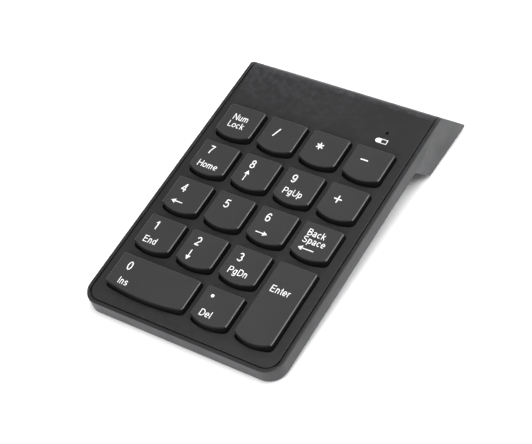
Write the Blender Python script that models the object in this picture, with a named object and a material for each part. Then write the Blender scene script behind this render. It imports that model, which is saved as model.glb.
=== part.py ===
"""Wireless numeric keypad: a wedge slab with 18 keys on a leaning battery hump, with its USB receiver.

Everything is in metres. The deck frame has its origin on the deck between the key rows' two middle
columns, level with the rear edge of the rear row: +X right, +Y to the rear, +Z out of the deck.
An empty tilts the deck frame so that the keypad stands on its four feet on the plane z = 0.
"""
import math

import bmesh
import bpy
from mathutils import Matrix, Vector

# ---------------------------------------------------------------- driving dimensions
KEY_PITCH = 0.01905
KEY_WIDTH = 0.0158
KEY_SIDE = 0.0140           # straight length of a key's left and right sides
KEY_BULGE = 0.0015          # how far the front edge bows out past the straight sides
KEY_TOP = 0.0024            # key tops above the deck
KEY_ROOF = 0.0011           # ceiling of the pocket under a key top
KEY_WALL = 0.0009
KEY_TRAVEL = 0.0018
KEY_REAR_Y = 0.0003         # rear edge of the rear row
FLANGE_OUT = 0.00065        # retaining flange round the foot of a key
FLANGE_TOP = -0.0014
FLANGE_BOTTOM = -0.0020
STEM_RADIUS = 0.0022
STEM_BOTTOM = -0.00195

DECK_HALF = 0.04085         # top cover
DECK_FRONT = -0.09675
DECK_CORNER = 0.0050
DECK_THICK = 0.0013
DECK_REAR = 0.0236          # where the deck plane meets the rear face
ROLL_RADIUS = 0.0050        # roll over the rear edge
SKIRT_END = -0.0050         # lower edge of the cover's rear skirt
SKIRT_THICK = 0.0016        # measured along Y

CASE_HALF = 0.04285         # bottom case
CASE_FRONT = -0.0986
CASE_CORNER = 0.0070
SEAM_GAP = 0.0004
RIM_RADIUS = 0.00035        # outer edge of the flat rim round the deck
SLAB_BOTTOM = -0.0065
FLOOR_TOP = -0.0053
HUMP_FRONT_TOP = (0.0011, -0.0065)
HUMP_FRONT_LOW = (0.0091, -0.0178)
HUMP_REAR_LOW = (0.0376, -0.0200)
HUMP_REAR_RADIUS = 0.0006
HUMP_WALL = 0.0012
FRONT_CLEARANCE = 0.0010    # table to the front lower edge of the slab
TILT = math.radians(5.9)    # of the deck, when the keypad stands on its feet

CELL_RADIUS = 0.00525       # AAA cell
CELL_LENGTH = 0.0445
CELL_NUB = 0.0010
CELL_PITCH = 0.0107
CELL_LIFT = 0.00765         # cell axis above the hump's bottom face
CELL_SETBACK = 0.00241      # front cell's axis behind the hump's lower front edge
BAY_LEFT = -0.0193
BAY_RIGHT = 0.0313
BAY_ROOF = -0.00485
BAY_END_WALL = 0.0024
BAY_ROOF_THICK = 0.0010
BAY_FRONT_SHOULDER = -0.0070
BAY_REAR_SHOULDER = -0.0062
BAY_REAR_STEP = (0.0241, -0.0049)

DOOR_FRONT = 0.0030         # along the bottom face, from the hump's lower front edge
DOOR_THICK = 0.0015
DOOR_TONGUE = 0.0012        # how far the inner plate reaches past the outer one
DOOR_TONGUE_TOP = 0.0021

BOARD_TOP = -0.0028
BOARD_THICK = 0.0008
BOARD_FRONT = 0.0030
BOARD_REAR = 0.0195
BOARD_LEFT = -0.0390
BOARD_RIGHT = 0.0335

LED_X = 0.0271
LED_Y = 0.0098
LED_HOLE_RADIUS = 0.00065

SWITCH_Y = 0.0105
SWITCH_Z = -0.0043
SWITCH_TRAVEL = 0.0025

RECEIVER_Y = 0.0172
RECEIVER_Z = -0.0110
CAP_WIDTH = 0.0152
CAP_HEIGHT = 0.0066
CAP_LENGTH = 0.0065
PLUG_WIDTH = 0.0120
PLUG_HEIGHT = 0.0045
PLUG_LENGTH = 0.0120
PLUG_SHEET = 0.0003

SCREW_PLACES = [(side * x, y) for side in (-1, 1)
                for x, y in ((0.0383, -0.0933), (0.0391, -0.0480), (0.0391, -0.0035))]
SCREW_RADIUS = 0.0008
SCREW_HEAD_RADIUS = 0.0016
BOSS_RADIUS = 0.0017

FOOT_RADIUS = 0.0032
FRONT_FOOT_X = 0.0310
REAR_FOOT_X = 0.0374
FRONT_FOOT_Y = -0.0915      # on the slab's bottom, deck frame
REAR_FOOT_Y = 0.0318        # on the hump's bottom, deck frame
FOOT_SINK = 0.0004          # depth of a foot's axis in its pocket

GAP = 0.0003
FIT = 0.00015               # gap between the layers of the key stack

# key name: (column, row, columns wide, rows deep)
KEYS = {
    "key_num_lock": (0, 0, 1, 1), "key_divide": (1, 0, 1, 1),
    "key_multiply": (2, 0, 1, 1), "key_minus": (3, 0, 1, 1),
    "key_7": (0, 1, 1, 1), "key_8": (1, 1, 1, 1), "key_9": (2, 1, 1, 1), "key_plus": (3, 1, 1, 1),
    "key_4": (0, 2, 1, 1), "key_5": (1, 2, 1, 1), "key_6": (2, 2, 1, 1), "key_backspace": (3, 2, 1, 1),
    "key_1": (0, 3, 1, 1), "key_2": (1, 3, 1, 1), "key_3": (2, 3, 1, 1), "key_enter": (3, 3, 1, 2),
    "key_0": (0, 4, 2, 1), "key_decimal": (2, 4, 1, 1),
}


# ---------------------------------------------------------------- scene, materials and frames
def clear_scene():
    for obj in list(bpy.data.objects):
        bpy.data.objects.remove(obj, do_unlink=True)


def new_collection(name):
    collection = bpy.data.collections.new(name)
    bpy.context.scene.collection.children.link(collection)
    return collection


def new_material(name, colour, roughness, metallic=0.0):
    material = bpy.data.materials.new(name)
    material.use_nodes = True
    shader = material.node_tree.nodes["Principled BSDF"]
    shader.inputs["Base Color"].default_value = (*colour, 1.0)
    shader.inputs["Roughness"].default_value = roughness
    shader.inputs["Metallic"].default_value = metallic
    return material


def unit(vector):
    return vector.normalized()


HUMP_LOW = Vector(HUMP_FRONT_LOW)
BOTTOM_ALONG = unit(Vector(HUMP_REAR_LOW) - HUMP_LOW)
BOTTOM_UP = Vector((-BOTTOM_ALONG.y, BOTTOM_ALONG.x))
REAR_TOP = Vector((DECK_REAR, 0.0))
REAR_DOWN = unit(Vector(HUMP_REAR_LOW) - REAR_TOP)


def on_bottom(along, up):
    """Deck-frame (y, z) of a point given along and above the hump's bottom face."""
    return HUMP_LOW + BOTTOM_ALONG * along + BOTTOM_UP * up


TURN = Matrix.Rotation(TILT, 4, "X")


def corner_arc_centre(before, corner, after, radius):
    """Centre of the arc that rounds a corner between two neighbouring points."""
    back, forward = unit(before - corner), unit(after - corner)
    return corner + unit(back + forward) * (radius / math.sin(back.angle(forward) / 2))


def tilted(y, z):
    """World (y, z) of a deck-frame point, before the deck is lifted and centred."""
    point = TURN @ Vector((0.0, y, z))
    return Vector((point.y, point.z))


FRONT_EDGE = tilted(CASE_FRONT, SLAB_BOTTOM)
FRONT_MOST = tilted(CASE_FRONT, -RIM_RADIUS).x
REAR_ARC = corner_arc_centre(HUMP_LOW, Vector(HUMP_REAR_LOW), REAR_TOP, HUMP_REAR_RADIUS)
REAR_MOST = tilted(*REAR_ARC).x + HUMP_REAR_RADIUS
DECK_PLACE = Vector((0.0, -(FRONT_MOST + REAR_MOST) / 2, FRONT_CLEARANCE - FRONT_EDGE.y))


def to_world(y, z):
    point = tilted(y, z)
    return Vector((point.x + DECK_PLACE.y, point.y + DECK_PLACE.z))


def add_deck_empty():
    deck = bpy.data.objects.new("deck_frame", None)
    deck.location = DECK_PLACE
    deck.rotation_euler = (TILT, 0.0, 0.0)
    bpy.context.scene.collection.objects.link(deck)
    return deck


# ---------------------------------------------------------------- outlines
def rounded(corners, segments=3):
    """Outline of (x, y) points; each corner is (x, y, radius), rounded by an arc."""
    outline = []
    count = len(corners)
    for index, (x, y, radius) in enumerate(corners):
        here = Vector((x, y))
        if radius <= 0.0:
            outline.append(here)
            continue
        before = Vector(corners[index - 1][:2])
        after = Vector(corners[(index + 1) % count][:2])
        reach = radius / math.tan((before - here).angle(after - here) / 2)
        centre = corner_arc_centre(before, here, after, radius)
        start = here + unit(before - here) * reach - centre
        end = here + unit(after - here) * reach - centre
        sweep = start.angle_signed(end)
        for step in range(segments + 1):
            outline.append(centre + Matrix.Rotation(-sweep * step / segments, 2) @ start)
    return outline


def key_outline(columns, rows, grow=0.0, rear_radius=0.0008, front_radius=0.0018):
    """Smile-shaped key outline, its rear edge's middle at (0, 0), grown outward by grow."""
    half = (KEY_WIDTH + (columns - 1) * KEY_PITCH) / 2 + grow
    side = -(KEY_SIDE + (rows - 1) * KEY_PITCH) - grow
    corners = [(-half, grow, rear_radius + grow), (-half, side, front_radius + grow)]
    steps = 8 * columns
    for step in range(1, steps):
        across = 2 * step / steps - 1
        corners.append((half * across, side - KEY_BULGE * (1 - across * across), 0.0))
    corners += [(half, side, front_radius + grow), (half, grow, rear_radius + grow)]
    return rounded(corners, 4)


def plan_outline(half, front, rear, radius, segments=9):
    return rounded([(-half, rear, 0.0), (-half, front, radius),
                    (half, front, radius), (half, rear, 0.0)], segments)


def key_place(column, row, columns):
    x = (column - 1.5 + (columns - 1) / 2) * KEY_PITCH
    return Vector((x, KEY_REAR_Y - row * KEY_PITCH, 0.0))


# ---------------------------------------------------------------- solids
class Shop:
    """Holds the collections, the parent empty and the materials, and makes objects in them."""

    def __init__(self):
        self.parts = new_collection("numeric_keypad")
        self.cutters = new_collection("cutters")
        self.deck = add_deck_empty()
        self.materials = {}

    def material(self, name, colour, roughness, metallic=0.0):
        self.materials[name] = new_material(name, colour, roughness, metallic)

    def add(self, name, mesh, material=None, place=(0.0, 0.0, 0.0), parent="deck"):
        obj = bpy.data.objects.new(name, mesh)
        obj.location = place
        if parent == "deck":
            obj.parent = self.deck
        if material is None:
            self.cutters.objects.link(obj)
            obj.hide_render = True
            obj.display_type = "WIRE"
        else:
            self.parts.objects.link(obj)
            mesh.materials.append(self.materials[material])
        return obj


def finish_mesh(work, name):
    bmesh.ops.recalc_face_normals(work, faces=work.faces)
    mesh = bpy.data.meshes.new(name)
    work.to_mesh(mesh)
    work.free()
    return mesh


def curve_mesh(name, curve):
    """The curve's closed mesh, caps welded."""
    obj = bpy.data.objects.new(name, curve)
    bpy.context.scene.collection.objects.link(obj)
    graph = bpy.context.evaluated_depsgraph_get()
    mesh = bpy.data.meshes.new_from_object(obj.evaluated_get(graph))
    bpy.data.objects.remove(obj, do_unlink=True)
    bpy.data.curves.remove(curve)
    work = bmesh.new()
    work.from_mesh(mesh)
    bpy.data.meshes.remove(mesh)
    bmesh.ops.remove_doubles(work, verts=work.verts, dist=1e-7)
    return finish_mesh(work, name)


def prism(name, outlines, low, high, along="Z"):
    """Flat outlines filled and extruded from low to high along Z, or (y, z) outlines along X."""
    curve = bpy.data.curves.new(name, "CURVE")
    curve.dimensions = "2D"
    curve.fill_mode = "BOTH"
    curve.extrude = (high - low) / 2
    for outline in outlines:
        spline = curve.splines.new("POLY")
        spline.points.add(len(outline) - 1)
        for point, (x, y) in zip(spline.points, outline):
            point.co = (x, y, 0.0, 1.0)
        spline.use_cyclic_u = True
    mesh = curve_mesh(name, curve)
    mesh.transform(Matrix.Translation((0.0, 0.0, (low + high) / 2)))
    if along == "X":
        mesh.transform(Matrix(((0, 0, 1, 0), (1, 0, 0, 0), (0, 1, 0, 0), (0, 0, 0, 1))))
    return mesh


def box(name, low, high):
    work = bmesh.new()
    bmesh.ops.create_cube(work, size=1.0)
    size = Vector(high) - Vector(low)
    bmesh.ops.scale(work, vec=size, verts=work.verts)
    bmesh.ops.translate(work, vec=Vector(low) + size / 2, verts=work.verts)
    return finish_mesh(work, name)


AXIS_TURNS = {
    "Z": Matrix.Identity(4),
    "X": Matrix.Rotation(math.pi / 2, 4, "Y"),
    "Y": Matrix.Rotation(-math.pi / 2, 4, "X"),
}


def add_cylinder(work, radius, low, high, centre, along="Z", segments=20, tip_radius=None):
    """A cylinder from low to high along an axis; centre holds the other two coordinates."""
    tip = radius if tip_radius is None else tip_radius
    turn = AXIS_TURNS[along]
    middle = Vector(centre) + turn @ Vector((0.0, 0.0, (low + high) / 2))
    bmesh.ops.create_cone(work, cap_ends=True, segments=segments, radius1=radius, radius2=tip,
                          depth=high - low, matrix=Matrix.Translation(middle) @ turn)


def cylinders(name, radius, low, high, centres, along="Z", segments=20):
    work = bmesh.new()
    for centre in centres:
        add_cylinder(work, radius, low, high, centre, along, segments)
    return finish_mesh(work, name)


def ring_solid(name, rings):
    """A closed solid whose skin runs through rings of (outline, height), capped at both ends."""
    work = bmesh.new()
    loops = []
    for outline, height in rings:
        loops.append([work.verts.new((x, y, height)) for x, y in outline])
    for lower, upper in zip(loops, loops[1:]):
        for index in range(len(lower)):
            after = (index + 1) % len(lower)
            work.faces.new((lower[index], lower[after], upper[after], upper[index]))
    work.faces.new(loops[0])
    work.faces.new(loops[-1])
    return finish_mesh(work, name)


def boolean(target, tool, operation="DIFFERENCE"):
    modifier = target.modifiers.new(tool.name, "BOOLEAN")
    modifier.operation = operation
    modifier.object = tool
    modifier.solver = "EXACT"


def smooth(mesh, angle=35.0):
    mesh.shade_smooth()
    mesh.set_sharp_from_angle(angle=math.radians(angle))


# ---------------------------------------------------------------- housing
def top_cover(shop):
    skirt_y = DECK_REAR + (SKIRT_END / REAR_DOWN.y) * REAR_DOWN.x
    inner_y = DECK_REAR - SKIRT_THICK - (DECK_THICK / REAR_DOWN.y) * REAR_DOWN.x
    profile = rounded([
        (CASE_FRONT, 0.0, 0.0), (CASE_FRONT, -DECK_THICK, 0.0),
        (inner_y, -DECK_THICK, ROLL_RADIUS - SKIRT_THICK), (skirt_y - SKIRT_THICK, SKIRT_END, 0.0),
        (skirt_y, SKIRT_END, 0.0), (DECK_REAR, 0.0, ROLL_RADIUS)], 8)
    cover = shop.add("top_cover", prism("top_cover", [profile], -CASE_HALF, CASE_HALF, "X"), "deck_black")
    plan = plan_outline(DECK_HALF, DECK_FRONT, 2 * HUMP_REAR_LOW[0], DECK_CORNER)
    boolean(cover, shop.add("cover_plan", prism("cover_plan", [plan], -0.02, 0.02)), "INTERSECT")
    openings = []
    for column, row, columns, rows in KEYS.values():
        place = key_place(column, row, columns).xy
        openings.append([place + point for point in key_outline(columns, rows, GAP)])
    boolean(cover, shop.add("key_openings", prism("key_openings", openings, -0.004, 0.004)))
    centres = [(x, y, 0.0) for x, y in SCREW_PLACES]
    bosses = cylinders("screw_bosses", BOSS_RADIUS, -0.0050, -0.0006, centres)
    boolean(cover, shop.add("screw_bosses", bosses), "UNION")
    pilots = cylinders("screw_pilots", SCREW_RADIUS + GAP / 2, -0.0060, -0.0016, centres, segments=12)
    boolean(cover, shop.add("screw_pilots", pilots))
    hole = cylinders("led_hole", LED_HOLE_RADIUS, -0.004, 0.004, [(LED_X, LED_Y, 0.0)], segments=16)
    boolean(cover, shop.add("led_hole", hole))


def meet(point, along, other, other_along):
    """Where two lines cross, each given by a point and a direction."""
    return point + along * ((other - point).cross(other_along) / along.cross(other_along))


def hump_profile(inset, top):
    """The hump's leaning cross-section (y, z), its walls moved in by inset, cut level at top."""
    front_down = unit(HUMP_LOW - Vector(HUMP_FRONT_TOP))
    level = (Vector((0.0, top)), Vector((1.0, 0.0)))
    front = (HUMP_LOW + Vector((-front_down.y, front_down.x)) * inset, front_down)
    bottom = (HUMP_LOW + BOTTOM_UP * inset, BOTTOM_ALONG)
    rear = (REAR_TOP + Vector((REAR_DOWN.y, -REAR_DOWN.x)) * inset, REAR_DOWN)
    lines = [level, front, bottom, rear, level]
    return [meet(*line, *after) for line, after in zip(lines, lines[1:])]


def case_outer_plan():
    """The case's plan as a tall prism with its top rim rounded."""
    plan = plan_outline(CASE_HALF, CASE_FRONT, 2 * HUMP_REAR_LOW[0], CASE_CORNER)
    mesh = prism("bottom_case", [plan], -0.03, 0.0)
    work = bmesh.new()
    work.from_mesh(mesh)
    bmesh.ops.dissolve_limit(work, angle_limit=0.001, verts=work.verts, edges=work.edges)
    rim = [edge for edge in work.edges if all(vert.co.z > -1e-6 for vert in edge.verts)]
    bmesh.ops.bevel(work, geom=rim, offset=RIM_RADIUS, segments=2, profile=0.5, affect="EDGES")
    bpy.data.meshes.remove(mesh)
    return finish_mesh(work, "bottom_case")


def bottom_case(shop):
    case = shop.add("bottom_case", case_outer_plan(), "case_black")
    beyond = CASE_FRONT - 0.01
    above = 0.00002
    profile = rounded([
        (beyond, above, 0.0), (beyond, SLAB_BOTTOM, 0.0), (*HUMP_FRONT_TOP, 0.0008),
        (*HUMP_FRONT_LOW, 0.0005), (*HUMP_REAR_LOW, HUMP_REAR_RADIUS), (DECK_REAR, above, ROLL_RADIUS)], 8)
    side = prism("case_profile", [profile], -0.05, 0.05, "X")
    boolean(case, shop.add("case_profile", side), "INTERSECT")
    inner = DECK_HALF + SEAM_GAP
    plan = plan_outline(inner, DECK_FRONT - SEAM_GAP, 2 * HUMP_REAR_LOW[0], DECK_CORNER + SEAM_GAP)
    boolean(case, shop.add("tray_hollow", prism("tray_hollow", [plan], FLOOR_TOP, 0.01)))
    hollow = prism("hump_hollow", [hump_profile(HUMP_WALL, FLOOR_TOP + 0.001)], -inner, inner, "X")
    boolean(case, shop.add("hump_hollow", hollow))
    add_battery_bay(shop, case)
    add_receiver_bay(shop, case)
    add_case_openings(shop, case)


def bay_profile(inset, roof, rear_shoulder, rear_step):
    """Battery bay cross-section: the hump's inside, with a level roof and a sloping rear shoulder."""
    upper_front = hump_profile(inset, BAY_FRONT_SHOULDER)[0]
    lower_front, lower_rear, upper_rear = hump_profile(inset, rear_shoulder)[1:]
    return [Vector((upper_front.x, roof)), upper_front, lower_front, lower_rear, upper_rear,
            Vector(rear_step), Vector((rear_step[0] - 0.0002, roof))]


def add_battery_bay(shop, case):
    roof = BAY_ROOF + BAY_ROOF_THICK
    shell = bay_profile(HUMP_WALL / 2, roof, BAY_REAR_SHOULDER + 0.0003, BAY_REAR_STEP)
    walls = prism("bay_walls", [shell], BAY_LEFT - BAY_END_WALL, BAY_RIGHT + BAY_END_WALL, "X")
    boolean(case, shop.add("bay_walls", walls), "UNION")
    inner_step = (BAY_REAR_STEP[0] - 0.0016, BAY_ROOF - 0.0001)
    inside = bay_profile(HUMP_WALL, BAY_ROOF, BAY_REAR_SHOULDER, inner_step)
    inside[2:4] = [inside[2] + BOTTOM_UP * GAP, inside[3] + BOTTOM_UP * GAP]
    room = prism("bay_room", [inside], BAY_LEFT, BAY_RIGHT, "X")
    boolean(case, shop.add("bay_room", room))
    past_rear = 0.040
    rail_low = DOOR_THICK - GAP + 0.00005
    slot = [on_bottom(DOOR_FRONT - GAP, -0.002), on_bottom(past_rear, -0.002),
            on_bottom(past_rear, DOOR_THICK + GAP / 2), on_bottom(DOOR_FRONT - GAP, DOOR_THICK + GAP / 2)]
    boolean(case, shop.add("door_slot", prism("door_slot", [slot], BAY_LEFT + GAP / 3,
                                              BAY_RIGHT - GAP / 3, "X")))
    rails = [on_bottom(DOOR_FRONT, rail_low), on_bottom(past_rear + 0.001, rail_low),
             on_bottom(past_rear + 0.001, DOOR_TONGUE_TOP + GAP),
             on_bottom(DOOR_FRONT, DOOR_TONGUE_TOP + GAP)]
    boolean(case, shop.add("door_rails", prism("door_rails", [rails], BAY_LEFT - DOOR_TONGUE + GAP / 3,
                                               BAY_RIGHT + DOOR_TONGUE - GAP / 3, "X")))


def add_receiver_bay(shop, case):
    wall = 0.0012
    cap_y, cap_z = CAP_WIDTH / 2 + GAP, CAP_HEIGHT / 2 + GAP
    plug_y, plug_z = PLUG_WIDTH / 2 + GAP, PLUG_HEIGHT / 2 + GAP
    cap_end = -CASE_HALF + CAP_LENGTH + 2 * GAP
    plug_end = cap_end + PLUG_LENGTH + GAP
    blocks = (("cap_walls", cap_y + wall, cap_z + wall, -CASE_HALF + 0.001, cap_end + wall, "UNION"),
              ("plug_walls", plug_y + wall, plug_z + wall, cap_end, plug_end + wall, "UNION"),
              ("cap_room", cap_y, cap_z, -CASE_HALF - 0.001, cap_end, "DIFFERENCE"),
              ("plug_room", plug_y, plug_z, cap_end - 0.001, plug_end, "DIFFERENCE"))
    for name, half_y, half_z, left, right, operation in blocks:
        low = (left, RECEIVER_Y - half_y, RECEIVER_Z - half_z)
        high = (right, RECEIVER_Y + half_y, RECEIVER_Z + half_z)
        boolean(case, shop.add(name, box(name, low, high)), operation)
    scoop = cylinders("finger_scoop", 0.0060, RECEIVER_Y - 0.0040, RECEIVER_Y + 0.0040,
                      [(-CASE_HALF - 0.0029, 0.0, RECEIVER_Z)], "Y", 28)
    boolean(case, shop.add("finger_scoop", scoop))


def add_case_openings(shop, case):
    slot_half = (SWITCH_TRAVEL + 0.0032) / 2
    slot = box("switch_slot", (-CASE_HALF - 0.001, SWITCH_Y - slot_half, SWITCH_Z - 0.0008),
               (-DECK_HALF + 0.001, SWITCH_Y + slot_half, SWITCH_Z + 0.0008))
    boolean(case, shop.add("switch_slot", slot))
    recess = box("switch_recess", (-CASE_HALF - 0.001, SWITCH_Y - slot_half - 0.0012, SWITCH_Z - 0.0014),
                 (-CASE_HALF + 0.0005, SWITCH_Y + slot_half + 0.0012, SWITCH_Z + 0.0014))
    boolean(case, shop.add("switch_recess", recess))
    centres = [(x, y, 0.0) for x, y in SCREW_PLACES]
    shafts = cylinders("screw_shafts", SCREW_RADIUS + GAP, -0.0075, -0.0040, centres, segments=12)
    boolean(case, shop.add("screw_shafts", shafts))
    heads = cylinders("screw_recesses", SCREW_HEAD_RADIUS + GAP, -0.0075, SLAB_BOTTOM + 0.0006, centres)
    boolean(case, shop.add("screw_recesses", heads))
    work = bmesh.new()
    for name, (x, low, high) in feet_places().items():
        centre = (x, foot_y(name), 0.0)
        add_cylinder(work, FOOT_RADIUS + GAP, low - 0.004, high + FIT, centre, segments=24)
    boolean(case, shop.add("foot_pockets", finish_mesh(work, "foot_pockets"), parent="world"))


def battery_door(shop):
    rear = HUMP_REAR_LOW
    rear_length = (Vector(rear) - HUMP_LOW).length
    lean = BOTTOM_UP.cross(REAR_DOWN) / BOTTOM_ALONG.cross(REAR_DOWN)

    def plate(low, high, inset, rear_radius):
        return rounded([(*on_bottom(DOOR_FRONT + inset, low), 0.0),
                        (*on_bottom(rear_length - low * lean - inset, low), rear_radius),
                        (*on_bottom(rear_length - high * lean - inset, high), 0.0),
                        (*on_bottom(DOOR_FRONT + inset, high), 0.0)], 5)

    outer = prism("battery_door", [plate(0.0, DOOR_THICK, 0.0, HUMP_REAR_RADIUS)],
                  BAY_LEFT + 0.0004, BAY_RIGHT - 0.0004, "X")
    door = shop.add("battery_door", outer, "case_black")
    inner = prism("door_tongue", [plate(DOOR_THICK - 0.0001, DOOR_TONGUE_TOP, GAP, 0.0)],
                  BAY_LEFT + 0.0004 - DOOR_TONGUE, BAY_RIGHT - 0.0004 + DOOR_TONGUE, "X")
    boolean(door, shop.add("door_tongue", inner), "UNION")
    grooves = bmesh.new()
    middle = (BAY_LEFT + BAY_RIGHT) / 2
    for step in range(4):
        place = on_bottom(0.008 + 0.0016 * step, 0.0)
        add_cylinder(grooves, 0.0005, middle - 0.007, middle + 0.007, (0.0, *place), "X", 8)
    boolean(door, shop.add("door_grip", finish_mesh(grooves, "door_grip")))


# ---------------------------------------------------------------- keys and the stack under them
def keycap(shop, name, column, row, columns, rows):
    outer = key_outline(columns, rows)
    flange = key_outline(columns, rows, FLANGE_OUT)
    inner = key_outline(columns, rows, -KEY_WALL, front_radius=0.0020, rear_radius=0.0015)
    mesh = ring_solid(name, [(outer, KEY_TOP), (outer, FLANGE_TOP), (flange, FLANGE_TOP),
                             (flange, FLANGE_BOTTOM), (inner, FLANGE_BOTTOM), (inner, KEY_ROOF)])
    smooth(mesh)
    place = key_place(column, row, columns)
    key = shop.add(name, mesh, "key_black", place)
    stem = cylinders(name + "_stem", STEM_RADIUS, STEM_BOTTOM, KEY_ROOF + 0.0004,
                     [(0.0, key_middle(rows), 0.0)], segments=12)
    boolean(key, shop.add(name + "_stem", stem, place=place), "UNION")


def key_middle(rows):
    return -(KEY_SIDE + KEY_BULGE + (rows - 1) * KEY_PITCH) / 2


def stabiliser(shop, name, key):
    """Wire along the long side of a wide or deep key, its ends bent towards the stem."""
    column, row, columns, rows = KEYS[key]
    place = key_place(column, row, columns) + Vector((0.0, key_middle(rows), -0.0002))
    reach = 0.0125
    bend = 0.0052
    points = [(-reach, 0.0), (-reach, bend), (reach, bend), (reach, 0.0)]
    if rows > 1:
        points = [(y, x) for x, y in points]
    mesh = wire_mesh(name, [(x, y, 0.0) for x, y in points], 0.0004)
    shop.add(name, mesh, "steel", place)


def wire_mesh(name, points, radius):
    curve = bpy.data.curves.new(name, "CURVE")
    curve.dimensions = "3D"
    curve.bevel_depth = radius
    curve.bevel_resolution = 2
    curve.use_fill_caps = True
    spline = curve.splines.new("POLY")
    spline.points.add(len(points) - 1)
    for point, place in zip(spline.points, points):
        point.co = (*place, 1.0)
    return curve_mesh(name, curve)


SHEET_FRONT = -0.0940
SHEET_REAR = 0.0010
SHEET_HALF = 0.0362
PLATE_LOW = FLOOR_TOP + FIT
PLATE_HIGH = PLATE_LOW + 0.0004
MEMBRANE_LOW = PLATE_HIGH + 0.0001
MEMBRANE_HIGH = MEMBRANE_LOW + 0.00025
SHEET_LOW = MEMBRANE_HIGH + 0.0001
SHEET_HIGH = SHEET_LOW + 0.0004
DOME_TOP = STEM_BOTTOM - FIT


def key_stack(shop):
    low, high = (-SHEET_HALF, SHEET_FRONT), (SHEET_HALF, SHEET_REAR)
    plate = box("backing_plate", (*low, PLATE_LOW), (*high, PLATE_HIGH))
    shop.add("backing_plate", plate, "steel")
    membrane = box("membrane_circuit", (*low, MEMBRANE_LOW), (*high, MEMBRANE_HIGH))
    shop.add("membrane_circuit", membrane, "film")
    sheet = shop.add("dome_sheet", box("dome_sheet", (*low, SHEET_LOW), (*high, SHEET_HIGH)), "silicone")
    work = bmesh.new()
    for column, row, columns, rows in KEYS.values():
        centre = key_place(column, row, columns) + Vector((0.0, key_middle(rows), 0.0))
        add_cylinder(work, 0.0036, SHEET_HIGH - 0.0001, DOME_TOP, centre, segments=12, tip_radius=0.0024)
    boolean(sheet, shop.add("domes", finish_mesh(work, "domes")), "UNION")


# ---------------------------------------------------------------- electronics
def electronics(shop):
    board_low = BOARD_TOP - BOARD_THICK
    board = box("main_board", (BOARD_LEFT, BOARD_FRONT, board_low), (BOARD_RIGHT, BOARD_REAR, BOARD_TOP))
    shop.add("main_board", board, "board_green")
    seat = BOARD_TOP + 0.0001
    shop.add("radio_chip", box("radio_chip", (-0.0035, 0.0095, seat), (0.0035, 0.0165, seat + 0.0009)),
             "chip_black")
    crystal = rounded([(0.0075, 0.0110, 0.0009), (0.0125, 0.0110, 0.0009),
                       (0.0125, 0.0142, 0.0009), (0.0075, 0.0142, 0.0009)])
    shop.add("crystal", prism("crystal", [crystal], seat, seat + 0.0010), "steel")
    led_low, led_high = seat, seat + 0.0005
    led = box("status_led", (LED_X - 0.0008, LED_Y - 0.0004, led_low), (LED_X + 0.0008, LED_Y + 0.0004, led_high))
    shop.add("status_led", led, "led_clear")
    pipe = bmesh.new()
    add_cylinder(pipe, 0.00045, led_high + 0.0001, -0.00045, (LED_X, LED_Y, 0.0), segments=12)
    shop.add("led_light_pipe", finish_mesh(pipe, "led_light_pipe"), "led_clear")
    connector = box("ribbon_connector", (-0.0090, 0.0046, seat), (0.0090, 0.0076, seat + 0.0010))
    shop.add("ribbon_connector", connector, "cream_plastic")
    tail = [(0.00115, MEMBRANE_LOW), (0.00170, MEMBRANE_LOW), (0.00185, seat + 0.0003),
            (0.00440, seat + 0.0003), (0.00440, seat + 0.0005), (0.00160, seat + 0.0005),
            (0.00145, MEMBRANE_HIGH), (0.00115, MEMBRANE_HIGH)]
    shop.add("membrane_tail", prism("membrane_tail", [tail], -0.0080, 0.0080, "X"), "film")


def power_switch(shop):
    right = BOARD_LEFT + 0.0030
    top = BOARD_TOP - BOARD_THICK - 0.0001
    body = box("power_switch_body", (BOARD_LEFT - 0.0002, SWITCH_Y - 0.0034, top - 0.0014),
               (right, SWITCH_Y + 0.0034, top))
    shop.add("power_switch_body", body, "steel")
    start = SWITCH_Y - SWITCH_TRAVEL / 2
    low = (-CASE_HALF + 0.0001, start - 0.0012, SWITCH_Z - 0.0005)
    high = (BOARD_LEFT - 0.0005, start + 0.0012, SWITCH_Z + 0.0005)
    shop.add("power_switch_knob", box("power_switch_knob", low, high), "key_black")


def cell(shop, name, index, nub_side):
    """An AAA cell; index 0 is the front one, nub_side the end its positive nub faces."""
    place = on_bottom(CELL_SETBACK + index * CELL_PITCH, CELL_LIFT)
    wall = BAY_LEFT + 0.0007 if nub_side < 0 else BAY_RIGHT - 0.0007
    tip = wall - nub_side * GAP
    shoulder = tip - nub_side * CELL_NUB
    foot = tip - nub_side * CELL_LENGTH
    work = bmesh.new()
    low, high = sorted((foot, shoulder))
    add_cylinder(work, CELL_RADIUS, low, high, (0.0, *place), "X", 28)
    obj = shop.add(name, finish_mesh(work, name), "cell_wrap")
    low, high = sorted((shoulder - nub_side * 0.0002, tip))
    nub = cylinders(name + "_nub", 0.0019, low, high, [(0.0, *place)], "X", 16)
    boolean(obj, shop.add(name + "_nub", nub), "UNION")
    return place, foot


def contact_spring(shop, name, place, cell_end, side):
    """Coil between a cell's flat end and its contact plate."""
    start = cell_end + side * (GAP + 0.0002)
    wall = BAY_RIGHT - 0.0007 if side > 0 else BAY_LEFT + 0.0007
    end = wall - side * (GAP + 0.0002)
    turns, steps = 3.0, 10
    points = []
    for step in range(int(turns * steps) + 1):
        part = step / (turns * steps)
        angle = 2 * math.pi * turns * part
        radius = 0.0018 + 0.0012 * part
        points.append((start + (end - start) * part, place.x + radius * math.cos(angle),
                       place.y + radius * math.sin(angle)))
    shop.add(name, wire_mesh(name, points, 0.00022), "steel")


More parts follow.
